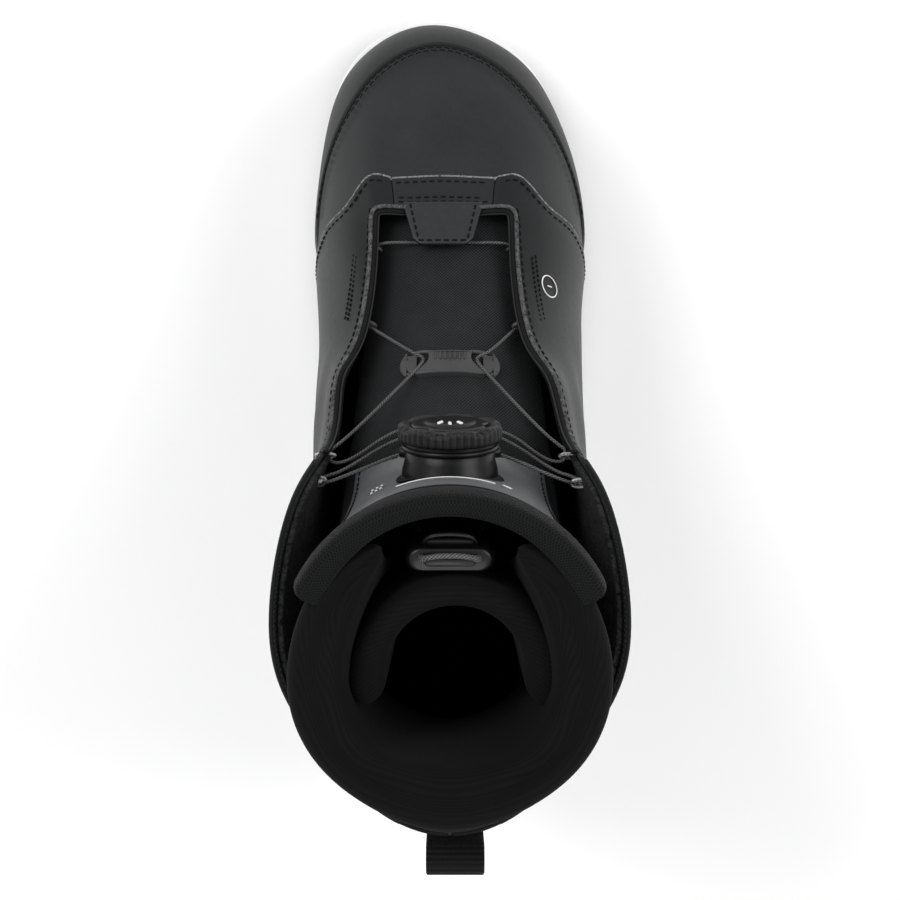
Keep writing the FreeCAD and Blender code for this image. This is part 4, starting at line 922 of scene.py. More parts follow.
def make_quarter(side, word):
    """Quarter with the rough cut edge in front. Gives its sewn rows."""
    panel(f"{word}_quarter_panel", f"{word}_quarter", upper,
          lambda a, b: (around(mix(quarter_front(b), CUFF_FRONT, a), side), b), -0.35, 1.3, "quarter", 2.4,
          relief=creases, slot="quarter_synthetic")
    w = np.linspace(0.02, 0.995, 160)
    w = w[w < 0.934]
    t = around(quarter_front(w), side)
    edge = row_on(upper, t, w, 0.15, 0.1, -side)[0]
    tube(f"{word}_quarter_raw_edge", smooth_route(edge, 1), 0.42, "raw_edge", "binding_felt", sides=6, step=1.2)
    beside_eyestay = around(np.linspace(2.2, 6.1, 150), side)
    return [row_on(upper, t, w, 2.4, 0.4, side), row_on(upper, beside_eyestay, 0.974, 0, 0.4)]


def reinforcement_rows(side):
    """Two short sewn rows beside the eyestay."""
    t = around(np.linspace(3.2, 3.98, 30), side)
    shift = 0.024 if side > 0 else 0.012
    return [row_on(upper, t, level + shift, 0, 0.4) for level in (0.866, 0.889)]


def make_shaft(side, word):
    """Ankle, heel and cuff panels. Gives their sewn rows."""
    ankle = strip(CUFF_FRONT, COUNTER_FRONT, 0.0, cuff_low, side)
    heel = strip(COUNTER_FRONT, SPINE_FRONT, lambda t: counter_edge(t) - 0.005, cuff_low, side)
    cuff = strip(CUFF_FRONT, SPINE_FRONT, lambda t: cuff_low(t) - 0.006, 1.0, side)
    panel(f"{word}_ankle", f"{word}_ankle_panel", upper, ankle, -0.2, 1.3, "shell", relief=gentle)
    panel(f"{word}_heel", f"{word}_heel_panel", upper, heel, 0.1, 1.3, "shell", relief=gentle)
    panel(f"{word}_cuff_panel", f"{word}_cuff", upper, cuff, -0.45, 1.3, "cordura", 3.0, 0.8, gentle)
    t = np.linspace(CUFF_FRONT + 0.06, SPINE_FRONT - 0.05, 160)
    w = np.linspace(0.02, 0.99, 140)
    rows = [row_on(upper, around(t, side), cuff_low(t), offset, 0.45, side) for offset in (2.2, 4.4)]
    rows += [row_on(upper, around(CUFF_FRONT, side), w, offset, lift, side)
             for offset, lift in ((2.0, 0.4), (-2.0, 0.45))]
    return rows + [row_on(upper, around(SPINE_FRONT, side), w[w > 0.47], offset, 0.45, -side)
                   for offset in (-2.2, 2.2)]


def make_eyestay(side, word):
    """Raw edge of the eyestay, with a folded black facing inside it."""
    t = around(np.linspace(0.7, 6.25, 150), side)
    edge, fold, piping = (row_on(upper, t, RIM, inward, lift, -side)[0]
                          for inward, lift in ((0.0, 0.2), (0.9, -1.2), (2.1, -1.7)))
    tube(f"{word}_eyestay_edge", edge, 0.75, "felt", "binding_felt", step=0.8, squash=0.8)
    band = strip(2.3, 6.25, 0.985, 0.999, side)
    panel(f"{word}_eyestay_band", f"{word}_eyestay", upper, band, -0.7, 1.0, "felt", 1.0, 0.5,
          slot="binding_felt")
    tube(f"{word}_eyestay_facing", fold, 1.15, "trim", "lining_fleece", sides=10, squash=0.55)
    tube(f"{word}_eyestay_piping", piping, 0.34, "frame", "lining_fleece", sides=6, step=0.9)


def make_cuff_rim(side, word):
    """Binding round the top of the cuff. Gives its sewn row."""
    t = around(np.linspace(6.5, HEEL - 0.02, 150), side)
    edge = row_on(upper, t, RIM, 0.0, 0.0)[0]
    tube(f"{word}_cuff_edge", edge, 0.9, "trim", "binding_felt", sides=10, step=1.2)
    band = strip(6.4, SPINE_FRONT, 0.955, 0.999, side)
    panel(f"{word}_cuff_band", f"{word}_cuff_binding", upper, band, -1.1, 1.0, "cordura", 2.4, 0.8,
          slot="binding_felt")
    return row_on(upper, t[4:-10], 0.966, 0, 1.1)


def make_linings(side, word):
    for part, start, end, low, high, material in (
            ("quarter", 3.35, CUFF_FRONT, 0.03, 0.995, "lining"),
            ("heel", CUFF_FRONT, HEEL, 0.03, cuff_low, "lining"),
            ("cuff", CUFF_FRONT, HEEL, cuff_low, 0.995, "fleece")):
        place = strip(start, end, low, high, side)
        panel(f"{word}_{part}_inside", f"{word}_{part}_lining", upper, place, 1.5, 3.4, material, 3.2, 0.6,
              slot="lining_fleece")


def make_heel():
    """Heel counter and backstay. Gives their sewn rows."""
    counter = strip(COUNTER_FRONT - 0.05, RIBS - COUNTER_FRONT + 0.05, 0.0, counter_edge)
    backstay = strip(SPINE_FRONT, HEEL + SPINE_HALF, lambda t: counter_edge(t) + 0.004, 1.0)
    panel("heel_counter_cup", "heel_counter", upper, counter, -0.75, 1.2, "frame", 3.0, 1.0)
    panel("backstay_strip", "backstay", upper, backstay, -0.6, 1.3, "shell", 2.6, 0.8)
    t = np.linspace(COUNTER_FRONT + 0.1, RIBS - COUNTER_FRONT - 0.1, 160)
    return [row_on(upper, t, counter_edge(t), offset, 0.75) for offset in (-2.4, -4.6)]


def make_upper():
    rows, tacks = make_toe(), []
    for side, word in SIDES:
        rows += make_quarter(side, word)
        tacks += reinforcement_rows(side)
        rows += make_shaft(side, word)
        make_eyestay(side, word)
        rows.append(make_cuff_rim(side, word))
        make_linings(side, word)
    panel("toe_inside", "toe_lining", upper, strip(-3.38, 3.38, 0.03, 0.995), 1.6, 3.4, "lining", 3.2, 0.6,
          slot="lining_fleece")
    rows += make_heel()
    stitches("upper_stitching", rows)
    stitches("reinforcement_stitching", tacks, pitch=1.9, share=0.7, radius=0.3)


def bridge_height(y):
    """Height of the bridge's middle line and of its slope carried on over the tongue."""
    line = upper.point(0.0, np.linspace(0.5, 1.0, 200))
    slope = (line[-1, 2] - line[-40, 2]) / (line[-1, 1] - line[-40, 1])
    inside = np.interp(-y, -line[:, 1], line[:, 2])
    return np.where(y < line[-1, 1], line[-1, 2] + slope * (y - line[-1, 1]), inside)


class TabSheet:
    """Tapered tab over the bridge and the tongue: a runs along it, b across."""

    def point(self, a, b):
        corner = 2.4 * np.clip((a - 0.84) / 0.16, 0, 1) ** 2
        x = mix(-1, 1, b) * (mix(14.6, 10.2, a) - corner)
        y = mix(70.6, 54.8, a)
        return np.stack([x - 2.5, y, bridge_height(y) + 1.9 - 0.006 * x * x], -1)

    def normal(self, a, b):
        along = self.point(a + 0.01, b) - self.point(a - 0.01, b)
        side = self.point(a, b + 0.01) - self.point(a, b - 0.01)
        return unit(np.cross(along, side))


def make_tab():
    tab = TabSheet()
    panel("throat_tab_flap", "throat_tab", tab, lambda a, b: (a, b), 0.0, 1.3, "tab", 1.8)
    a = np.concatenate([np.linspace(0.02, 0.92, 30), np.full(20, 0.92), np.linspace(0.92, 0.02, 30)])
    b = np.concatenate([np.full(30, 0.09), np.linspace(0.09, 0.91, 20), np.full(30, 0.91)])
    points, normals = tab.point(a, b), tab.normal(a, b)
    stitches("tab_stitching", [(points + normals * 0.1, normals)])


# ---------------------------------------------------------------- tongue

PRINT_STATION = 5.85


def across(v_low, v_high, u_half=1.0):
    return lambda a, b: (mix(-u_half, u_half, a), mix(v_low, v_high, b))


def pad_depth(thick):
    return lambda a: thick * (1 - 0.55 * mix(-1.0, 1.0, a) ** 2)


def ripple(T, W, gap):
    return 0.35 * np.sin(W * 5 + T * 2.3) * np.cos(T * 2.0) * ease(gap / 8) - 0.8 * (1 - ease(gap / 5))


def bend_fold(T, W, gap):
    return ripple(T, W, gap) - 0.9 * np.exp(-((W - HINGE) / 0.10) ** 2)


def collar_swell(T, W, gap):
    share = (W - ROLL_LOW) / (tongue.last - ROLL_LOW)
    return 3.0 * np.sin(np.clip(share, 0, 1) * np.pi) ** 0.7 - 1.4


def make_shin():
    """Satin panel with its sewn edge and plain printed marks below the dial; its light grey base colour is
    painted sheen, standing in for the satin's reflection.
    """
    panel("shin_patch", "shin_panel", tongue, across(3.75, ROLL_LOW - 0.02, 0.82), -1.05, 0.3, "shin", 2.4, 0.6,
          lambda T, W, gap: 0.5 * np.sin(T * 3.1 + W * 1.3) * ease(gap / 9), "tongue_top", "shin_satin")
    v = np.linspace(3.82, ROLL_LOW - 0.12, 90)
    rows = [row_on(tongue, np.linspace(-0.78, 0.78, 90), 3.84, 0, 1.15), row_on(tongue, 0.77, v, 0, 1.15),
            row_on(tongue, -0.77, v, 0, 1.15)]
    stitches("shin_stitching", rows, "tongue_top")
    line = tongue.at(np.linspace(-0.36, 0.30, 60), PRINT_STATION, -1.75)
    tube("shin_printed_line", line, 0.17, "print", "shin_satin", "tongue_top", sides=6, squash=0.3)
    dashes = [row_on(tongue, side * np.linspace(0.50, 0.64, 12), station, 0, 1.15)
              for side in (-1, 1) for station in (4.92, 5.1)]
    stitches("shin_printed_dashes", dashes, "tongue_top", "print", 1.7, 0.6, 0.3, "shin_satin")
    centre = tongue.at(0.38, PRINT_STATION, -1.95)
    along = unit(tongue.at(0.42, PRINT_STATION, -1.95) - centre)
    up = unit(tongue.at(0.38, PRINT_STATION + 0.1, -1.95) - centre)
    tube("shin_printed_ring", circle(centre, along, up, 1.6, 1.6, 40), 0.2, "print", "shin_satin", "tongue_top",
         sides=6, step=0.6, squash=0.4, closed=True)


def make_tongue():
    low = panel("tongue_low_pad", "tongue_lower", tongue, across(0.0, 3.35), 0.6, pad_depth(7.2), "tongue",
                3.4, 1.6, bend_fold, None, "tongue_fabric")
    puff(low, 3.0, 1.6)
    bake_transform(low)
    high = panel("tongue_high_pad", "tongue_upper", tongue, across(3.3, ROLL_LOW + 0.05), 0.7, pad_depth(7.0),
                 "tongue", 3.4, 1.6, ripple, "tongue_top", "tongue_fabric")
    puff(high, 3.0, 1.4)
    make_shin()
    roll = across(ROLL_LOW - 0.05, tongue.last, 1.02)
    collar = panel("tongue_collar_roll", "tongue_collar", tongue, roll, -0.4,
                   lambda a: 6.6 + 2.2 * (2 * a - 1) ** 2, "mesh", 2.6, 2.2, collar_swell, "tongue_top",
                   "collar_mesh", 0.8)
    puff(collar, 3.5, 1.6)
    edge = row_on(tongue, np.linspace(-0.97, 0.97, 120), ROLL_LOW - 0.03, 0, 0.9)[0]
    tube("collar_piping", edge, 0.8, "trim", "collar_mesh", "tongue_top", step=1.2)


# ---------------------------------------------------------------- dial

DIAL_FOOT = V(0, -26.6626, 174.0)
DIAL_Y = V(0, 0.2079117, -0.9781476)
DIAL_AXIS = V(0, 0.9781476, 0.2079117)
DIAL_STATION = 5.0502
DIAL_PAD_HALF = 17.0
DIAL_PAD_RISE = 14.0 / 23.0
PORT_ANGLE = math.radians(25)
PORT_HEIGHT = 6.3
# Profiles of turned pieces: radius and height above the dial's foot.
GRIP_PROFILE = [
    (15.25, 11.8), (15.8, 11.75), (16.3, 12.0), (16.5, 12.5), (16.5, 13.4), (16.5, 14.6), (16.5, 15.4),
    (16.5, 16.0), (16.35, 16.6), (16.0, 17.1), (15.4, 17.45), (14.6, 17.5), (13.8, 17.3), (13.2, 16.9),
    (12.95, 16.3), (13.0, 13.5), (15.2, 13.0),
]
CAP_PROFILE = [
    (0.4, 16.5), (12.75, 16.5), (12.7, 16.8), (12.3, 17.15), (11.2, 17.35), (9.0, 17.5), (8.5, 17.55),
    (8.2, 17.95), (6, 18.15), (3, 18.3), (0.4, 18.35),
]
FOOT_PROFILE = [
    (0.4, -2.6), (14.8, -2.6), (15.6, -2.2), (15.8, -0.4), (15.4, 2.6), (14.6, 5.6), (14.4, 8.4), (14.0, 8.8),
    (0.4, 8.8),
]
BASE_RING_PROFILE = [(15.1, 8.9), (15.5, 8.9), (15.9, 9.2), (15.9, 9.9), (15.6, 10.4), (15.1, 10.6)]


def dial_place(local):
    local = np.atleast_2d(local)
    return DIAL_FOOT + local[:, :1] * [1, 0, 0] + local[:, 1:2] * DIAL_Y + local[:, 2:3] * DIAL_AXIS


def port_point(side, reach):
    """Point in a lace port, at a distance from the dial's axis."""
    return dial_place(V(side * math.cos(PORT_ANGLE) * reach, math.sin(PORT_ANGLE) * reach, PORT_HEIGHT))[0]


def lathe(name, profile, material, body="tongue_top", slot="dial_plastic", count=120, shape=None, closed=False):
    """Turned piece of the dial from a profile of (radius, height)."""
    profile = np.array(profile, float)
    angle = np.linspace(0, 2 * np.pi, count, endpoint=False)
    radius = np.repeat(profile[:, :1], count, 1)
    height = np.repeat(profile[:, 1:], count, 1)
    if shape:
        radius, height = shape(radius, height, angle[None])
    local = np.stack([radius * np.cos(angle), radius * np.sin(angle), height], -1)
    faces = ring_faces(len(profile), count, True, closed)
    run = run_along(profile)[:, None]
    uv = np.stack(np.broadcast_arrays(angle[None] * profile[:, :1].max(), run), -1).reshape(-1, 2)
    return add_object(name, dial_place(local.reshape(-1, 3)), faces, uv, body, material, slot)


def flutes(radius, height, angle):
    """Fine grip grooves round the side and seven shallow scallops on top."""
    side = np.clip((radius - 15.9) / 0.5, 0, 1) * np.clip((17.2 - height) / 0.5, 0, 1)
    groove = 1.0 * np.abs(np.sin(angle * 22)) ** 0.6 - 0.6
    scallop = np.clip((height - 15.4) / 1.8, 0, 1) * (0.5 + 0.5 * np.cos(angle * 7)) ** 3
    return radius + side * groove - 1.9 * scallop * np.clip((radius - 13) / 2, 0, 1), height - 0.7 * scallop


def cut_cap(radius, height, angle):
    """Three notches in the cap's rim."""
    notch = (0.5 + 0.5 * np.cos(angle * 3 + 0.5)) ** 12
    return radius - 1.6 * notch * np.clip((radius - 9) / 3, 0, 1), height


def make_dial_pad():
    """Rounded pad under the dial, sewn near its edge."""
    reach = tongue.across_at(DIAL_PAD_HALF, DIAL_STATION)[0]

    def rounded(a, b):
        x, y = 2 * a - 1, 2 * b - 1
        return (reach * x * np.sqrt(1 - 0.48 * y * y),
                DIAL_STATION + DIAL_PAD_RISE * y * np.sqrt(1 - 0.48 * x * x))

    def squarish(wave):
        return np.sign(wave) * np.abs(wave) ** 0.85

    panel("dial_stitched_pad", "dial_pad", tongue, rounded, -1.9, -1.2, "trim", 1.6, 0.8, body="tongue_top",
          slot="dial_rubber")
    turn = np.linspace(0, 2 * np.pi, 150, endpoint=False)
    u = reach * 0.88 * squarish(np.cos(turn))
    v = DIAL_STATION + DIAL_PAD_RISE * 0.86 * squarish(np.sin(turn))
    stitches("dial_pad_stitching", [row_on(tongue, u, v, 0, 2.0)], "tongue_top", "light_thread", 2.4, 0.7, 0.3,
             "dial_rubber")


def make_dial():
    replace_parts(lathe("dial_grip", GRIP_PROFILE, "grip", "knob", "dial_rubber", 264, flutes, True), "knob_grip")
    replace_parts(lathe("dial_cap", CAP_PROFILE, "gloss", "knob", shape=cut_cap), "knob_cap")
    # plain turning mark: three short bars on the cap
    for k, angle in enumerate((-2.15, -1.57, -0.99)):
        c, s = math.cos(angle), math.sin(angle)
        ends = [[c * 4.3, s * 4.3, 18.3], [c * 6.9, s * 6.9, 18.12]]
        tube(f"dial_mark_{k}", dial_place(ends), 0.62, "print", "dial_plastic", "knob", 6, 0.6, 0.5)
    make_dial_pad()
    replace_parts(lathe("dial_foot", FOOT_PROFILE, "gloss"), "reel_base")
    lathe("dial_base_ring", BASE_RING_PROFILE, "gloss", closed=True)
    for side, word in HANDS[::-1]:
        collar = resample([port_point(side, reach) for reach in (13.2, 15.6, 17.4)], 0.5)
        tube(f"dial_port_{word}", collar, 2.1, "gloss", "dial_plastic", "tongue_top", 16, 0.6)
    for node, material in (("dial_housing", "gloss"), ("lace_spool", "guide"), ("pawl_disc", "guide"),
                           ("knob_core", "gloss"), ("knob_sleeve", "steel"), ("dial_screw", "steel")):
        paint(node, material)


# ---------------------------------------------------------------- lace and its guides

GUIDE_STATION = 2.05
GUIDE_HOLE = 9.4
SLITS = (2.86, 3.83)
# Webbing loops at the ankle, on the right and the left of the tongue.
MID_LOOP = {1: V(38.6, -20.0, 157.0), -1: V(-40.4, -20.4, 157.0)}
TOP_LOOP = {1: V(41.6, -28.8, 166.0), -1: V(-42.6, -28.8, 166.0)}


def on_tongue(x, v, lift):
    return tongue.at(tongue.across_at(x, v)[0], v, -lift)


def cord(name, route, body="boot"):
    return tube(name, smooth_route(route, 3), 0.52, "cord", "cord", body, 10, 0.3, strands=3, twist=1.0)


def crossing(name, route):
    """Lace that runs from the boot to the moving part of the tongue."""
    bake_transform(cord(name, route, None))


def make_lace_side(side, word):
    slits = [upper.at(around(t, side), 0.990, 5.0) for t in SLITS]
    guide = on_tongue(side * GUIDE_HOLE, GUIDE_STATION, 2.6)
    mid, top = MID_LOOP[side], TOP_LOOP[side]

    def by(spot, outward, y, z):
        return spot + V(side * outward, y, z)

    front = [on_tongue(0, 0.5, 2.0), on_tongue(side * 8.0, 0.5, 1.7), by(slits[0], -7.0, 0.6, 2.2),
             by(slits[0], -2.2, 0.3, 1.0), by(slits[0], 0.6, -0.6, 0.0), by(slits[0], 1.2, -3.2, 0.2),
             by(slits[1], 1.2, 3.2, -1.0), by(slits[1], 0.6, 0.4, -0.2), by(slits[1], -1.8, -0.8, 1.2),
             by(guide, 4.4, 3.8, 0.8), by(guide, 1.0, 2.2, 0.7), by(guide, -0.4, 1.5, 0.2),
             by(guide, -0.6, 0.4, -0.2), by(guide, 0.2, -0.9, 0.4), by(guide, 2.2, -3.4, 2.4),
             by(mid, -7.0, 6.5, -1.8), by(mid, -0.6, 1.8, -0.3)]
    over, under = (1.6, 3.3) if side > 0 else (3.3, 1.6)
    cross = [by(mid, -0.6, 1.8, -0.3), by(mid, -0.4, -2.6, 0.8), by(mid, -7.0, -2.0, -0.9),
             on_tongue(side * 19.0, 3.20, 1.9), on_tongue(side * 8.0, 3.25, over),
             on_tongue(0, 3.295, over + 0.25)]
    back = [on_tongue(0, 3.295, under + 0.25), on_tongue(side * 8.0, 3.34, under),
            on_tongue(side * 19.0, 3.42, 2.1), by(top, -7.0, 3.0, -2.9), by(top, -0.7, 1.6, -0.6),
            by(top, -0.4, -1.0, 1.7)]
    last = [by(top, -0.7, 1.6, -0.6), by(top, -0.4, -1.0, 1.7), by(top, -8.0, 1.6, 4.2), port_point(side, 16.5),
            port_point(side, 11.5)]
    cord(f"lace_front_{word}", front)
    crossing(f"lace_cross_{word}", cross)
    crossing(f"lace_back_{word}", back)
    crossing(f"lace_port_{word}", last)
    make_lace_holders(side, word, slits)


def make_lace_holders(side, word, slits):
    """Silvery webbing loops that carry the lace at the ankle, and the eyes it passes in the eyestay."""
    out = V(side, 0, 0)
    for tag, spot, lean in (("mid", MID_LOOP[side], V(0, -0.95, 0.3)),
                            ("top", TOP_LOOP[side], V(0, -0.75, 0.66))):
        ring = circle(spot + V(side * 0.9, -0.2, 0.3), out, np.cross(out, unit(lean)), 2.415, 1.302, 30)
        tube(f"webbing_loop_{tag}_{word}", ring, 0.6, "silver_webbing", "webbing", sides=10, step=0.5,
             squash=2.4, closed=True)
    for k, (slit, rise, shift) in enumerate(zip(slits, (0.1, 0.4), (-1.2, 1.0))):
        lean = unit(V(side * 0.3, -0.8, rise))
        along = unit(out - lean * np.dot(out, lean))
        ring = circle(slit + V(0, shift, 0.3), along, np.cross(along, lean), 2.0, 1.5, 28)
        tube(f"eyestay_eye_{k}_{word}", ring, 0.6, "guide", "guide_plastic", step=0.5, squash=1.4, closed=True)


def make_lace():
    for side, word in HANDS:
        make_lace_side(side, word)
    for piece, node in (("lace_front_right", "lace"), ("webbing_loop_mid_right", "side_webbing_loops"),
                        ("eyestay_eye_0_right", "eyestay_guides")):
        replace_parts(bpy.data.objects[piece], node)


def guide_place(points):
    """Flat guide coordinates, x across and y towards the toe, laid on the tongue."""
    p = np.asarray(points, float)
    v = GUIDE_STATION - p[:, 1] / 25.5
    return tongue.at(tongue.across_at(p[:, 0], v), v, -p[:, 2])


def flat_uvs(verts):
    return verts[:, :2]


def guide_plate(name, outline, low, high):
    """Moulded plate of the centre guide from a flat outline, with rounded upper edges."""
    line = resample(outline, 0.6, True)
    tangent = tangents(line, True)
    out = np.column_stack([tangent[:, 1], -tangent[:, 0]])
    if np.sum(line[:, 0] * np.roll(line[:, 1], -1) - line[:, 1] * np.roll(line[:, 0], -1)) < 0:
        out = -out
    rings = [np.column_stack([line - out * inset, np.full(len(line), z)])
             for inset, z in ((0, low), (0, high - 0.5), (0.15, high - 0.15), (0.5, high))]
    return pile(name, rings, flat_uvs, "boot", "guide", "guide_plastic", guide_place, False)


def guide_tube(name, route, radius, sides, step):
    tube(name, guide_place(route), radius, "guide", "guide_plastic", sides=sides, step=step)


def wing_arc(x, reach, half, turn):
    """Arc round the lace hole in the guide's wing."""
    return np.column_stack([x + reach * np.cos(turn), -0.3 + half * np.sin(turn)])


def make_centre_guide():
    """Bow-tie bar, two slotted end wings and the rails that close the lace holes between them."""
    ends = np.array([[7.6, 3.9], [7.0, 2.2], [7.2, 0.6], [9.6, -2.0], [12.0, -4.0], [11.6, -4.5]])
    bar = np.concatenate([ends, ends[::-1] * [-1, 1]])
    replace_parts(guide_plate("centre_guide_bar", bar, -0.3, 2.7), "centre_guide")
    turn = np.linspace(-0.62, 0.62, 12)
    slot_turn = turn * 0.66
    wing = np.concatenate([wing_arc(3.4, 13.4, 8.2, turn), wing_arc(3.4, 12.0, 7.6, slot_turn)[::-1]])
    cheek = np.concatenate([wing_arc(3.4, 11.2, 7.4, slot_turn), wing_arc(3.2, 9.2, 6.6, turn)[::-1]])
    rail = np.array([[5.6, 3.9, 1.2], [9.0, 4.5, 1.2], [12.6, 4.3, 1.0]])
    for side, word in HANDS:
        guide_plate(f"centre_guide_wing_{word}", wing * [side, 1], -0.2, 2.2)
        guide_plate(f"centre_guide_cheek_{word}", cheek * [side, 1], -0.2, 2.5)
        guide_tube(f"centre_guide_rail_{word}", smooth_route(rail * [side, 1, 1], 2), 0.8, 8, 0.6)
        for k, angle in enumerate((-0.42, 0.42)):
            link = np.concatenate([wing_arc(3.4, 10.9, 7.5, [angle]), wing_arc(3.4, 12.4, 7.8, [angle])])
            link = np.column_stack([link * [side, 1], [1.2, 1.2]])
            guide_tube(f"centre_guide_link_{k}_{word}", link, 0.9, 8, 0.5)
    for k in range(7):
        x = -4.8 + 1.6 * k
        guide_tube(f"centre_guide_rib_{k}", [[x, 0.6, 2.7], [x, 3.0, 2.7]], 0.3, 6, 0.5)


# ---------------------------------------------------------------- liner

def foot_top(t):
    """Height on the upper that the foot of the liner reaches."""
    side = np.minimum(np.abs(t), 30)
    front = mix(0.90, 0.73, ease(side / 2.4))
    return np.where(side < 4.6, front, mix(0.73, 0.52, ease((side - 4.6) / 2.2)))


def channels(T, W, gap):
    """Slack cloth with one sewn channel round the cuff."""
    slack = 0.2 * np.sin(T * 3.3 + W * 4) * ease((W - 0.1) / 0.2)
    return slack - 1.3 * np.exp(-((W - 0.70) / 0.010) ** 2)


def tongue_channel(T, W, gap):
    return -0.9 * np.exp(-((W - 5.0) / 0.05) ** 2)


def make_liner():
    feet = [("liner_foot_front", "liner_vamp", strip(-4.52, 4.52, 0.12, foot_top))]
    feet += [(f"liner_{word}_foot", f"liner_{word}_heel", strip(4.5, HEEL, 0.12, foot_top, side))
             for side, word in SIDES]
    for name, node, place in feet:
        foot = panel(name, node, upper, place, 4.3, 9.8, "knit_in", 4.0, 1.8, gentle, slot="liner_foam")
    last = 2 * len(LINER_CUFF_RIBS) - 2
    cuff = panel("liner_cuff_pad", "liner_cuff", liner_cuff, lambda a, b: (last * a, b), 0.4, 0, "knit", 3.4,
                 6.5, channels, "boot", "liner_foam", 1.0, liner_hole)
    puff(cuff, 4.0, 1.0)
    pad = panel("liner_tongue_pad", "liner_tongue", liner_tongue, across(0.0, liner_tongue.last), 0.6,
                lambda a: 10.0 + 2.4 * (2 * a - 1) ** 2, "knit", 3.2, 5.4, tongue_channel, "boot",
                "liner_foam", 1.0)
    puff(pad, 4.0, 0.9)
    line, side = plan_line(0.06, -11.2)
    rings = [np.column_stack([line + side * outward, np.full(len(line), z)])
             for outward, z in ((0, 37.2), (0, 40.2), (-0.5, 41.0), (-1.6, 41.3), (-7, 41.0), (-18, 40.2))]
    bed = pile("footbed_top", rings, flat_uvs, "boot", "knit_in", "liner_foam")
    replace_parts(bed, "footbed")
    paint("liner_sole", "knit_in")
    paint("lasting_board", "board")


# ---------------------------------------------------------------- lace lock on the liner

LOCK_FOOT = V(0, -47.4, 211)
LOCK_LEAN = math.radians(14)
# Levels of a solid: inset of its outline and height.
LOCK_BODY_LEVELS = [(1.6, 0.0), (0.5, 0.4), (0, 1.4), (0.2, 8), (0.2, 9), (0, 10), (0, 14.6), (0.5, 16.0),
                    (1.3, 16.7), (2.4, 17.0)]
LOCK_BUTTON_LEVELS = [(0.3, 10.5), (0, 12), (0, 18.4), (0.3, 19.1), (0.8, 19.4)]


def lock_place(points):
    p = np.asarray(points, float)
    c, s = math.cos(LOCK_LEAN), math.sin(LOCK_LEAN)
    return LOCK_FOOT + np.column_stack([p[:, 0], p[:, 1] * c - p[:, 2] * s, p[:, 1] * s + p[:, 2] * c])


def stadium(straight, radius):
    turn = np.linspace(-np.pi / 2, np.pi / 2, 16)
    right = np.column_stack([straight + radius * np.cos(turn), radius * np.sin(turn)])
    return np.concatenate([right, -right])


def lock_solid(name, outline, levels, body, material):
    away = unit(outline - outline.mean(0))
    rings = [np.column_stack([outline - away * inset, np.full(len(outline), z)]) for inset, z in levels]
    return pile(name, rings, lambda verts: verts[:, [0, 2]], body, material, "guide_plastic", lock_place)


def make_lock():
    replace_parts(lock_solid("lace_lock_body", stadium(9.5, 4.0), LOCK_BODY_LEVELS, "lace_lock", "lock"),
                "liner_lock_body")
    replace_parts(lock_solid("lace_lock_button", stadium(6.4, 1.5), LOCK_BUTTON_LEVELS, "lock_button", "bar"),
                "liner_lock_button")
    bar = [[-7.4, 4.3, 12.6], [-6.8, 4.7, 12.9], [6.8, 4.7, 12.9], [7.4, 4.3, 12.6]]
    tube("lace_lock_front_bar", lock_place(bar), 1.15, "bar", "guide_plastic", "lace_lock", 12, 0.8)
    arch = [[-8.2, 3.2, 13.5], [-7.6, 6.4, 15.6], [-4.0, 8.0, 16.6], [4.0, 8.0, 16.6], [7.6, 6.4, 15.6],
            [8.2, 3.2, 13.5]]
    arch = lock_place(smooth_route(arch, 3))
    tube("lace_lock_arch", arch, 0.85, "lock", "guide_plastic", "lace_lock", 10, 0.8)
    cords = []
    for k, shift in enumerate((0.0, 2.1)):
        half = [(12.0 + shift * 0.5, -2 + shift, -36), (9.5 + shift * 0.4, -0.6 + shift * 0.6, -18),
                (9, shift * 0.5, -6), (9, shift * 0.3, 10), (9, 0.05 + shift * 0.5, 18.6),
                (6.4, 2.0, 20.8 + shift * 0.2), (3, 2.6, 21.4)]
        route = lock_place(smooth_route(half + [(-x, y, z) for x, y, z in reversed(half)], 3))
        cords.append(tube(f"harness_cord_{k}", route, 0.78, "cord", "cord", "boot", 10, 0.5, strands=3,
                          twist=1.2))
    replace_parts(cords[0], "liner_harness_cord")


# ---------------------------------------------------------------- heel loop

LOOP_THICK = 1.8
LOOP_INNER = 3.3
LOOP_OUTER = 5.1
LOOP_DROP = 24.9
LOOP_HALF = 9.0
LOOP_STEP = 0.4
LOOP_PLACE = V(1.6, -139.3, 209.0)


def loop_path():
    """Middle line of the webbing in Y and Z, once round."""
    centre = LOOP_INNER + LOOP_THICK / 2
    share = np.linspace(0, 1, 40)
    turn = np.linspace(0, np.pi, 18)[1:-1]
    front = np.column_stack([np.full(40, centre - LOOP_OUTER), -LOOP_DROP * share])
    low = np.column_stack([centre * np.cos(turn) - LOOP_OUTER, -LOOP_DROP - centre * np.sin(turn)])
    back = np.column_stack([np.full(40, -LOOP_OUTER - centre), -LOOP_DROP * (1 - share)])
    high = np.column_stack([-LOOP_OUTER - centre * np.cos(turn), centre * np.sin(turn)])
    return resample(np.concatenate([front, low, back, high]), LOOP_STEP, True)


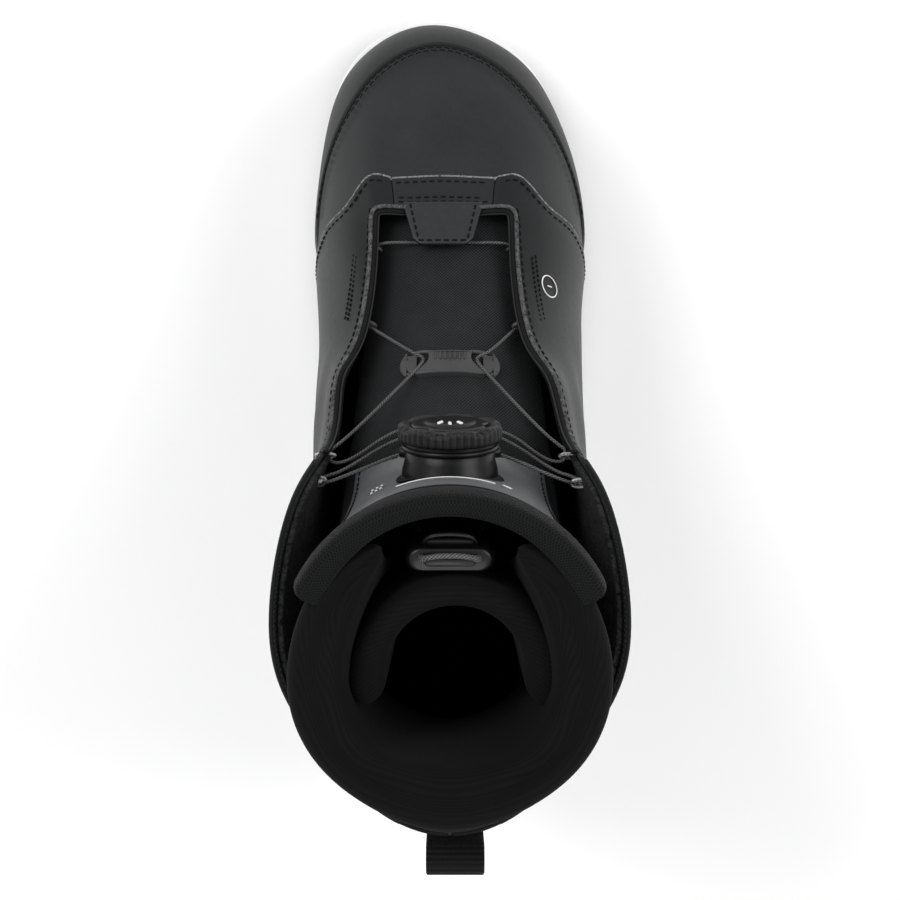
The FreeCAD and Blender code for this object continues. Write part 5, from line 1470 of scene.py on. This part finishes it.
def make_heel_loop():
    """Folded webbing with woven ribs across it, hanging behind the cuff."""
    line = loop_path()
    tangent = tangents(line, True)
    run = np.arange(len(line)) * LOOP_STEP
    rib = 0.16 * np.sin(run * 2 * np.pi / 1.6)
    xs = np.linspace(-8.6, 8.6, 20)
    section = [(x, 1, 1) for x in xs] + [(LOOP_HALF, 0.3, 0), (LOOP_HALF, -0.3, 0)]
    section += [(x, -1, 1) for x in xs[::-1]] + [(-LOOP_HALF, -0.3, 0), (-LOOP_HALF, 0.3, 0)]
    verts, uv = [], []
    for (y, z), (dy, dz), place, height in zip(line, tangent, run, rib):
        for x, face, ribbed in section:
            reach = (LOOP_THICK / 2 - 0.18 + height * ribbed) * face
            verts.append(LOOP_PLACE + V(x, y + dz * reach, z - dy * reach))
            uv.append((x, place))
    faces = grid_faces(len(line), len(section), 0, False, True, True)
    loop = add_object("heel_webbing_loop", verts, faces, uv, "heel_loop", "webbing", "webbing")
    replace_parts(loop, "heel_pull_loop")
    x = np.linspace(-5.6, 8.8, 20)
    rows = [(np.column_stack([x, np.full(20, -149.62), np.full(20, z)]), np.tile([0.0, -1.0, 0.0], (20, 1)))
            for z in (206.5, 199.5)]
    stitches("heel_loop_stitching", rows, "heel_loop", "light_thread", 2.4, 0.7, 0.26, "webbing")


def make_mark():
    """Plain ring with a bar on the lateral quarter."""
    t, w, lift = 3.6, 0.825, 0.45
    centre = upper.at(t, w, -lift)
    along = unit(upper.at(t + 0.05, w, -lift) - centre)
    up = upper.at(t, w + 0.02, -lift) - centre
    up = unit(up - along * np.dot(up, along))
    ring = circle(centre, along, up, 4.1, 4.1, 60)
    bar = [centre - up * 1.2, centre + up * 1.2]
    for name, route, closed in (("quarter_ring_mark", ring, True), ("quarter_bar_mark", bar, False)):
        tube(name, route, 0.27, "print", "quarter_synthetic", "boot", 6, 0.6, 0.5, closed)


make_studio()
make_midsole()
paint("outsole_forefoot", "outsole")
paint("outsole_heel", "outsole")
make_upper()
make_tab()
make_tongue()
make_dial()
make_lace()
make_centre_guide()
make_liner()
make_lock()
make_heel_loop()
make_mark()
